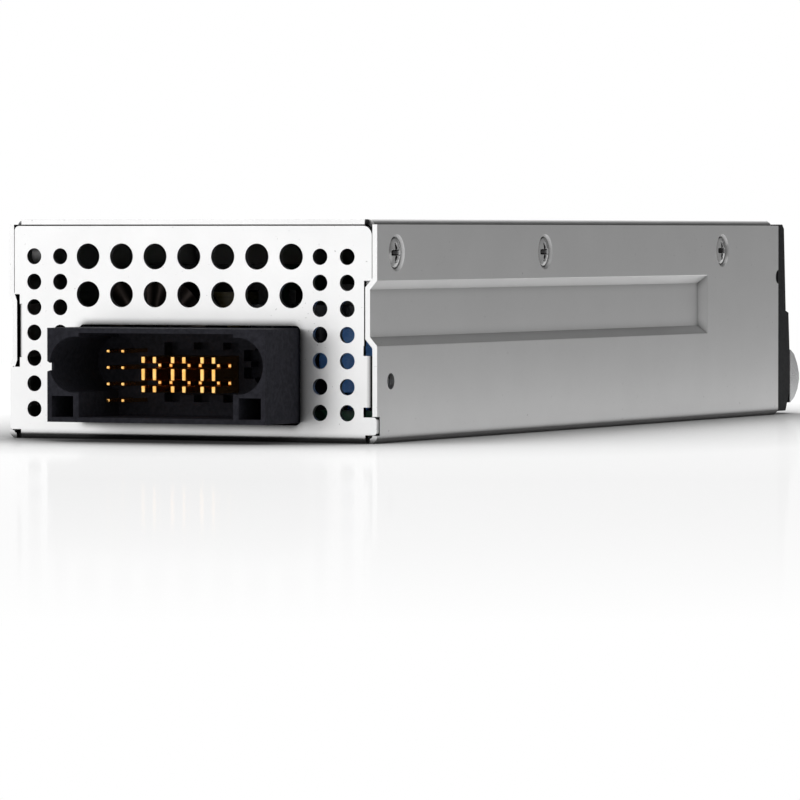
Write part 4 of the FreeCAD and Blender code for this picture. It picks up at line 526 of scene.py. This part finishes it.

# ---------------------------------------------------------------- floor
# A pale paper sweep with a weak sheen, flat under the unit. To the camera it carries a painted
# shadow close under the unit, and passes into plain white away from it.

FLOOR_HALF, FLOOR_GLOW, SHEEN = 40, 0.02, 0.1
SHADE_REACH, SHADE_STOPS = 0.065, [(0.42, 0.16), (1.0, 1.0)]
WHITE_STARTS, WHITE_FULL = 0.22, 0.5
corners = [(x * FLOOR_HALF, y * FLOOR_HALF, 0) for x, y in ((-1, -1), (1, -1), (1, 1), (-1, 1))]
floor_mesh = bpy.data.meshes.new("floor")
floor_mesh.from_pydata(corners, [], [(0, 1, 2, 3)])
floor = bpy.data.objects.new("floor", floor_mesh)
bpy.context.scene.collection.objects.link(floor)


def add(tree, kind, **values):
    """A new shader node with its sockets set by name."""
    made = tree.nodes.new("ShaderNode" + kind)
    for socket, value in values.items():
        made.inputs[socket].default_value = value
    return made


def mixed(tree, share, first, second):
    """Two shaders mixed; the share is an output that says how much is the second."""
    blend = add(tree, "MixShader")
    for socket, output in zip(blend.inputs, (share, first, second)):
        tree.links.new(output, socket)
    return blend.outputs[0]


def bare(material_name):
    """A material with an empty node tree."""
    made = bpy.data.materials.new(material_name)
    made.use_nodes = True
    made.node_tree.nodes.clear()
    return made


def paper_floor():
    """Matt white paper with a weak sheen. To the camera it carries a painted shadow close under the
    object, darker by how much of the sky the object hides, and passes into plain white away from
    it."""
    paper = bare("floor_paper")
    tree = paper.node_tree
    lit = add(tree, "MixShader", Fac=SHEEN)
    matt = add(tree, "BsdfDiffuse", Color=(0.86, 0.86, 0.86, 1.0))
    shine = add(tree, "BsdfGlossy", Color=(1.0, 1.0, 1.0, 1.0), Roughness=0.06)
    tree.links.new(matt.outputs[0], lit.inputs[1])
    tree.links.new(shine.outputs[0], lit.inputs[2])
    # Painted shadow: to the camera only, the floor darkens by how much of the sky the unit hides
    # nearby.
    hidden = add(tree, "AmbientOcclusion", Distance=SHADE_REACH)
    hidden.samples = 16
    depth = spread(paper, hidden.outputs["AO"], SHADE_STOPS)
    shaded = mixed(tree, depth, add(tree, "Emission", Strength=0.0).outputs[0], lit.outputs[0])
    lifted = add(tree, "AddShader")
    tree.links.new(shaded, lifted.inputs[0])
    tree.links.new(add(tree, "Emission", Strength=FLOOR_GLOW).outputs[0], lifted.inputs[1])
    reach = add(tree, "VectorMath")
    reach.operation = "LENGTH"
    tree.links.new(add(tree, "TexCoord").outputs["Object"], reach.inputs[0])
    away = add(tree, "MapRange")
    away.inputs["From Min"].default_value = WHITE_STARTS
    away.inputs["From Max"].default_value = WHITE_FULL
    tree.links.new(reach.outputs["Value"], away.inputs["Value"])
    white = add(tree, "Emission", Strength=1.0, Color=(1.0, 1.0, 1.0, 1.0))
    shown = mixed(tree, away.outputs["Result"], lifted.outputs[0], white.outputs[0])
    seen = add(tree, "LightPath").outputs["Is Camera Ray"]
    output = add(tree, "OutputMaterial")
    tree.links.new(mixed(tree, seen, lit.outputs[0], shown), output.inputs["Surface"])
    return paper


floor_mesh.materials.append(paper_floor())

# ---------------------------------------------------------------- studio and lamps
# The studio is white all round but for a soft dark drape, low down behind and to the right, which
# only reflections see: it gives the plain side wall its tone. One soft box hangs above the unit,
# and a weaker one stands low in front of it.

DRAPE_TOWARDS, DRAPE_DARK = (0.56, 0.82, 0.10), 0.9
DRAPE_OUTSIDE, DRAPE_INSIDE = math.radians(60), math.radians(34)
world = bpy.data.worlds.new("studio")
bpy.context.scene.world = world
world.use_nodes = True
studio = world.node_tree
studio.nodes.clear()


def worked_out(tree, operation, first, second):
    """One Math node; each operand is a number or another node's output."""
    made = add(tree, "Math")
    made.operation = operation
    for socket, value in zip(made.inputs, (first, second)):
        if isinstance(value, (int, float)):
            socket.default_value = value
        else:
            tree.links.new(value, socket)
    return made.outputs[0]


rays = add(studio, "LightPath")
towards = add(studio, "VectorMath")
towards.operation = "DOT_PRODUCT"
towards.inputs[1].default_value = Vector(DRAPE_TOWARDS).normalized()
studio.links.new(add(studio, "TexCoord").outputs["Generated"], towards.inputs[0])
drape = add(studio, "MapRange")
drape.interpolation_type = "SMOOTHSTEP"
drape.inputs["From Min"].default_value = math.cos(DRAPE_OUTSIDE)
drape.inputs["From Max"].default_value = math.cos(DRAPE_INSIDE)
studio.links.new(towards.outputs["Value"], drape.inputs["Value"])
glossy = rays.outputs["Is Glossy Ray"]
reflected = worked_out(studio, "MULTIPLY", drape.outputs["Result"], glossy)
darker = worked_out(studio, "MULTIPLY", reflected, DRAPE_DARK)
camera_or_glossy = worked_out(studio, "MAXIMUM", rays.outputs["Is Camera Ray"], glossy)
clear = worked_out(studio, "MAXIMUM", camera_or_glossy, rays.outputs["Is Transmission Ray"])
ambient = add(studio, "Background", Color=(1.0, 1.0, 1.0, 1.0), Strength=0.75)
white = add(studio, "Background", Color=(1.0, 1.0, 1.0, 1.0))
studio.links.new(worked_out(studio, "SUBTRACT", 1.0, darker), white.inputs["Strength"])
sky = mixed(studio, clear, ambient.outputs[0], white.outputs[0])
studio.links.new(sky, add(studio, "OutputWorld").inputs["Surface"])


def softbox(name, place, aim, width, height, watts):
    """A rectangular area light at a place, turned towards a point."""
    lamp = bpy.data.lights.new(name, "AREA")
    lamp.shape = "RECTANGLE"
    lamp.size, lamp.size_y = width, height
    lamp.energy = watts
    holder = bpy.data.objects.new(name, lamp)
    holder.location = place
    holder.rotation_mode = "QUATERNION"
    holder.rotation_quaternion = (Vector(aim) - Vector(place)).to_track_quat("-Z", "Y")
    holder.visible_camera = False
    bpy.context.scene.collection.objects.link(holder)
    return holder


softbox("top_light", (-0.05, 0.25, 0.95), (0, 0, 0), 0.9, 0.9, 5.2)
softbox("front_light", (-0.60, -1.15, 0.17), (0, -0.08, 0.02), 1.3, 0.36, 1.75)

# ---------------------------------------------------------------- reflecting card
# A low grey card beside the unit that only reflections see, so that the side wall darkens
# towards its top, where the pale floor no longer fills the reflection. Its edges are feathered.

CARD_X, CARD_NEAR, CARD_FAR, CARD_HIGH, CARD_GREY = 0.085, -0.075, 0.32, 0.08, 0.34
card_mesh = bpy.data.meshes.new("side_card")
card_mesh.from_pydata([(CARD_X, CARD_NEAR, 0.0), (CARD_X, CARD_FAR, 0.0),
                       (CARD_X, CARD_FAR, CARD_HIGH), (CARD_X, CARD_NEAR, CARD_HIGH)],
                      [], [(0, 1, 2, 3)])
card = bpy.data.objects.new("side_card", card_mesh)
bpy.context.scene.collection.objects.link(card)
card.visible_camera = card.visible_diffuse = card.visible_shadow = False
card.visible_transmission = False
card_paint = bare("card_grey")
tree = card_paint.node_tree
place = add(tree, "SeparateXYZ")
tree.links.new(add(tree, "TexCoord").outputs["Object"], place.inputs[0])
left_over = 1.0
for axis, gone, full in (("Z", CARD_HIGH, 0.05), ("Y", CARD_NEAR, -0.005), ("Y", CARD_FAR, 0.20)):
    edge = add(tree, "MapRange")
    edge.interpolation_type = "SMOOTHSTEP"
    edge.inputs["From Min"].default_value, edge.inputs["From Max"].default_value = gone, full
    tree.links.new(place.outputs[axis], edge.inputs["Value"])
    left_over = worked_out(tree, "MULTIPLY", left_over, edge.outputs["Result"])
glow = add(tree, "Emission", Color=(CARD_GREY, CARD_GREY, CARD_GREY, 1.0))
feathered = mixed(tree, left_over, add(tree, "BsdfTransparent").outputs[0], glow.outputs[0])
tree.links.new(feathered, add(tree, "OutputMaterial").inputs["Surface"])
card_mesh.materials.append(card_paint)

# ---------------------------------------------------------------- camera
# A long lens close to the floor. It looks at the output end and the right side wall, whose long
# edges run together only slightly.

YAW, PITCH, FAR_CLIP = math.radians(25.5), math.radians(1.612), 100.0
lens = bpy.data.cameras.new("camera")
lens.lens = 266.7
lens.sensor_width = 36.0
lens.clip_start, lens.clip_end = 0.01, FAR_CLIP
camera = bpy.data.objects.new("camera", lens)
camera.location = (0.42035, -0.88795, 0.03187)
camera.rotation_euler = (math.radians(90) - PITCH, 0.0, YAW)
bpy.context.scene.collection.objects.link(camera)
bpy.context.scene.camera = camera
bpy.context.scene.view_settings.view_transform = "Standard"
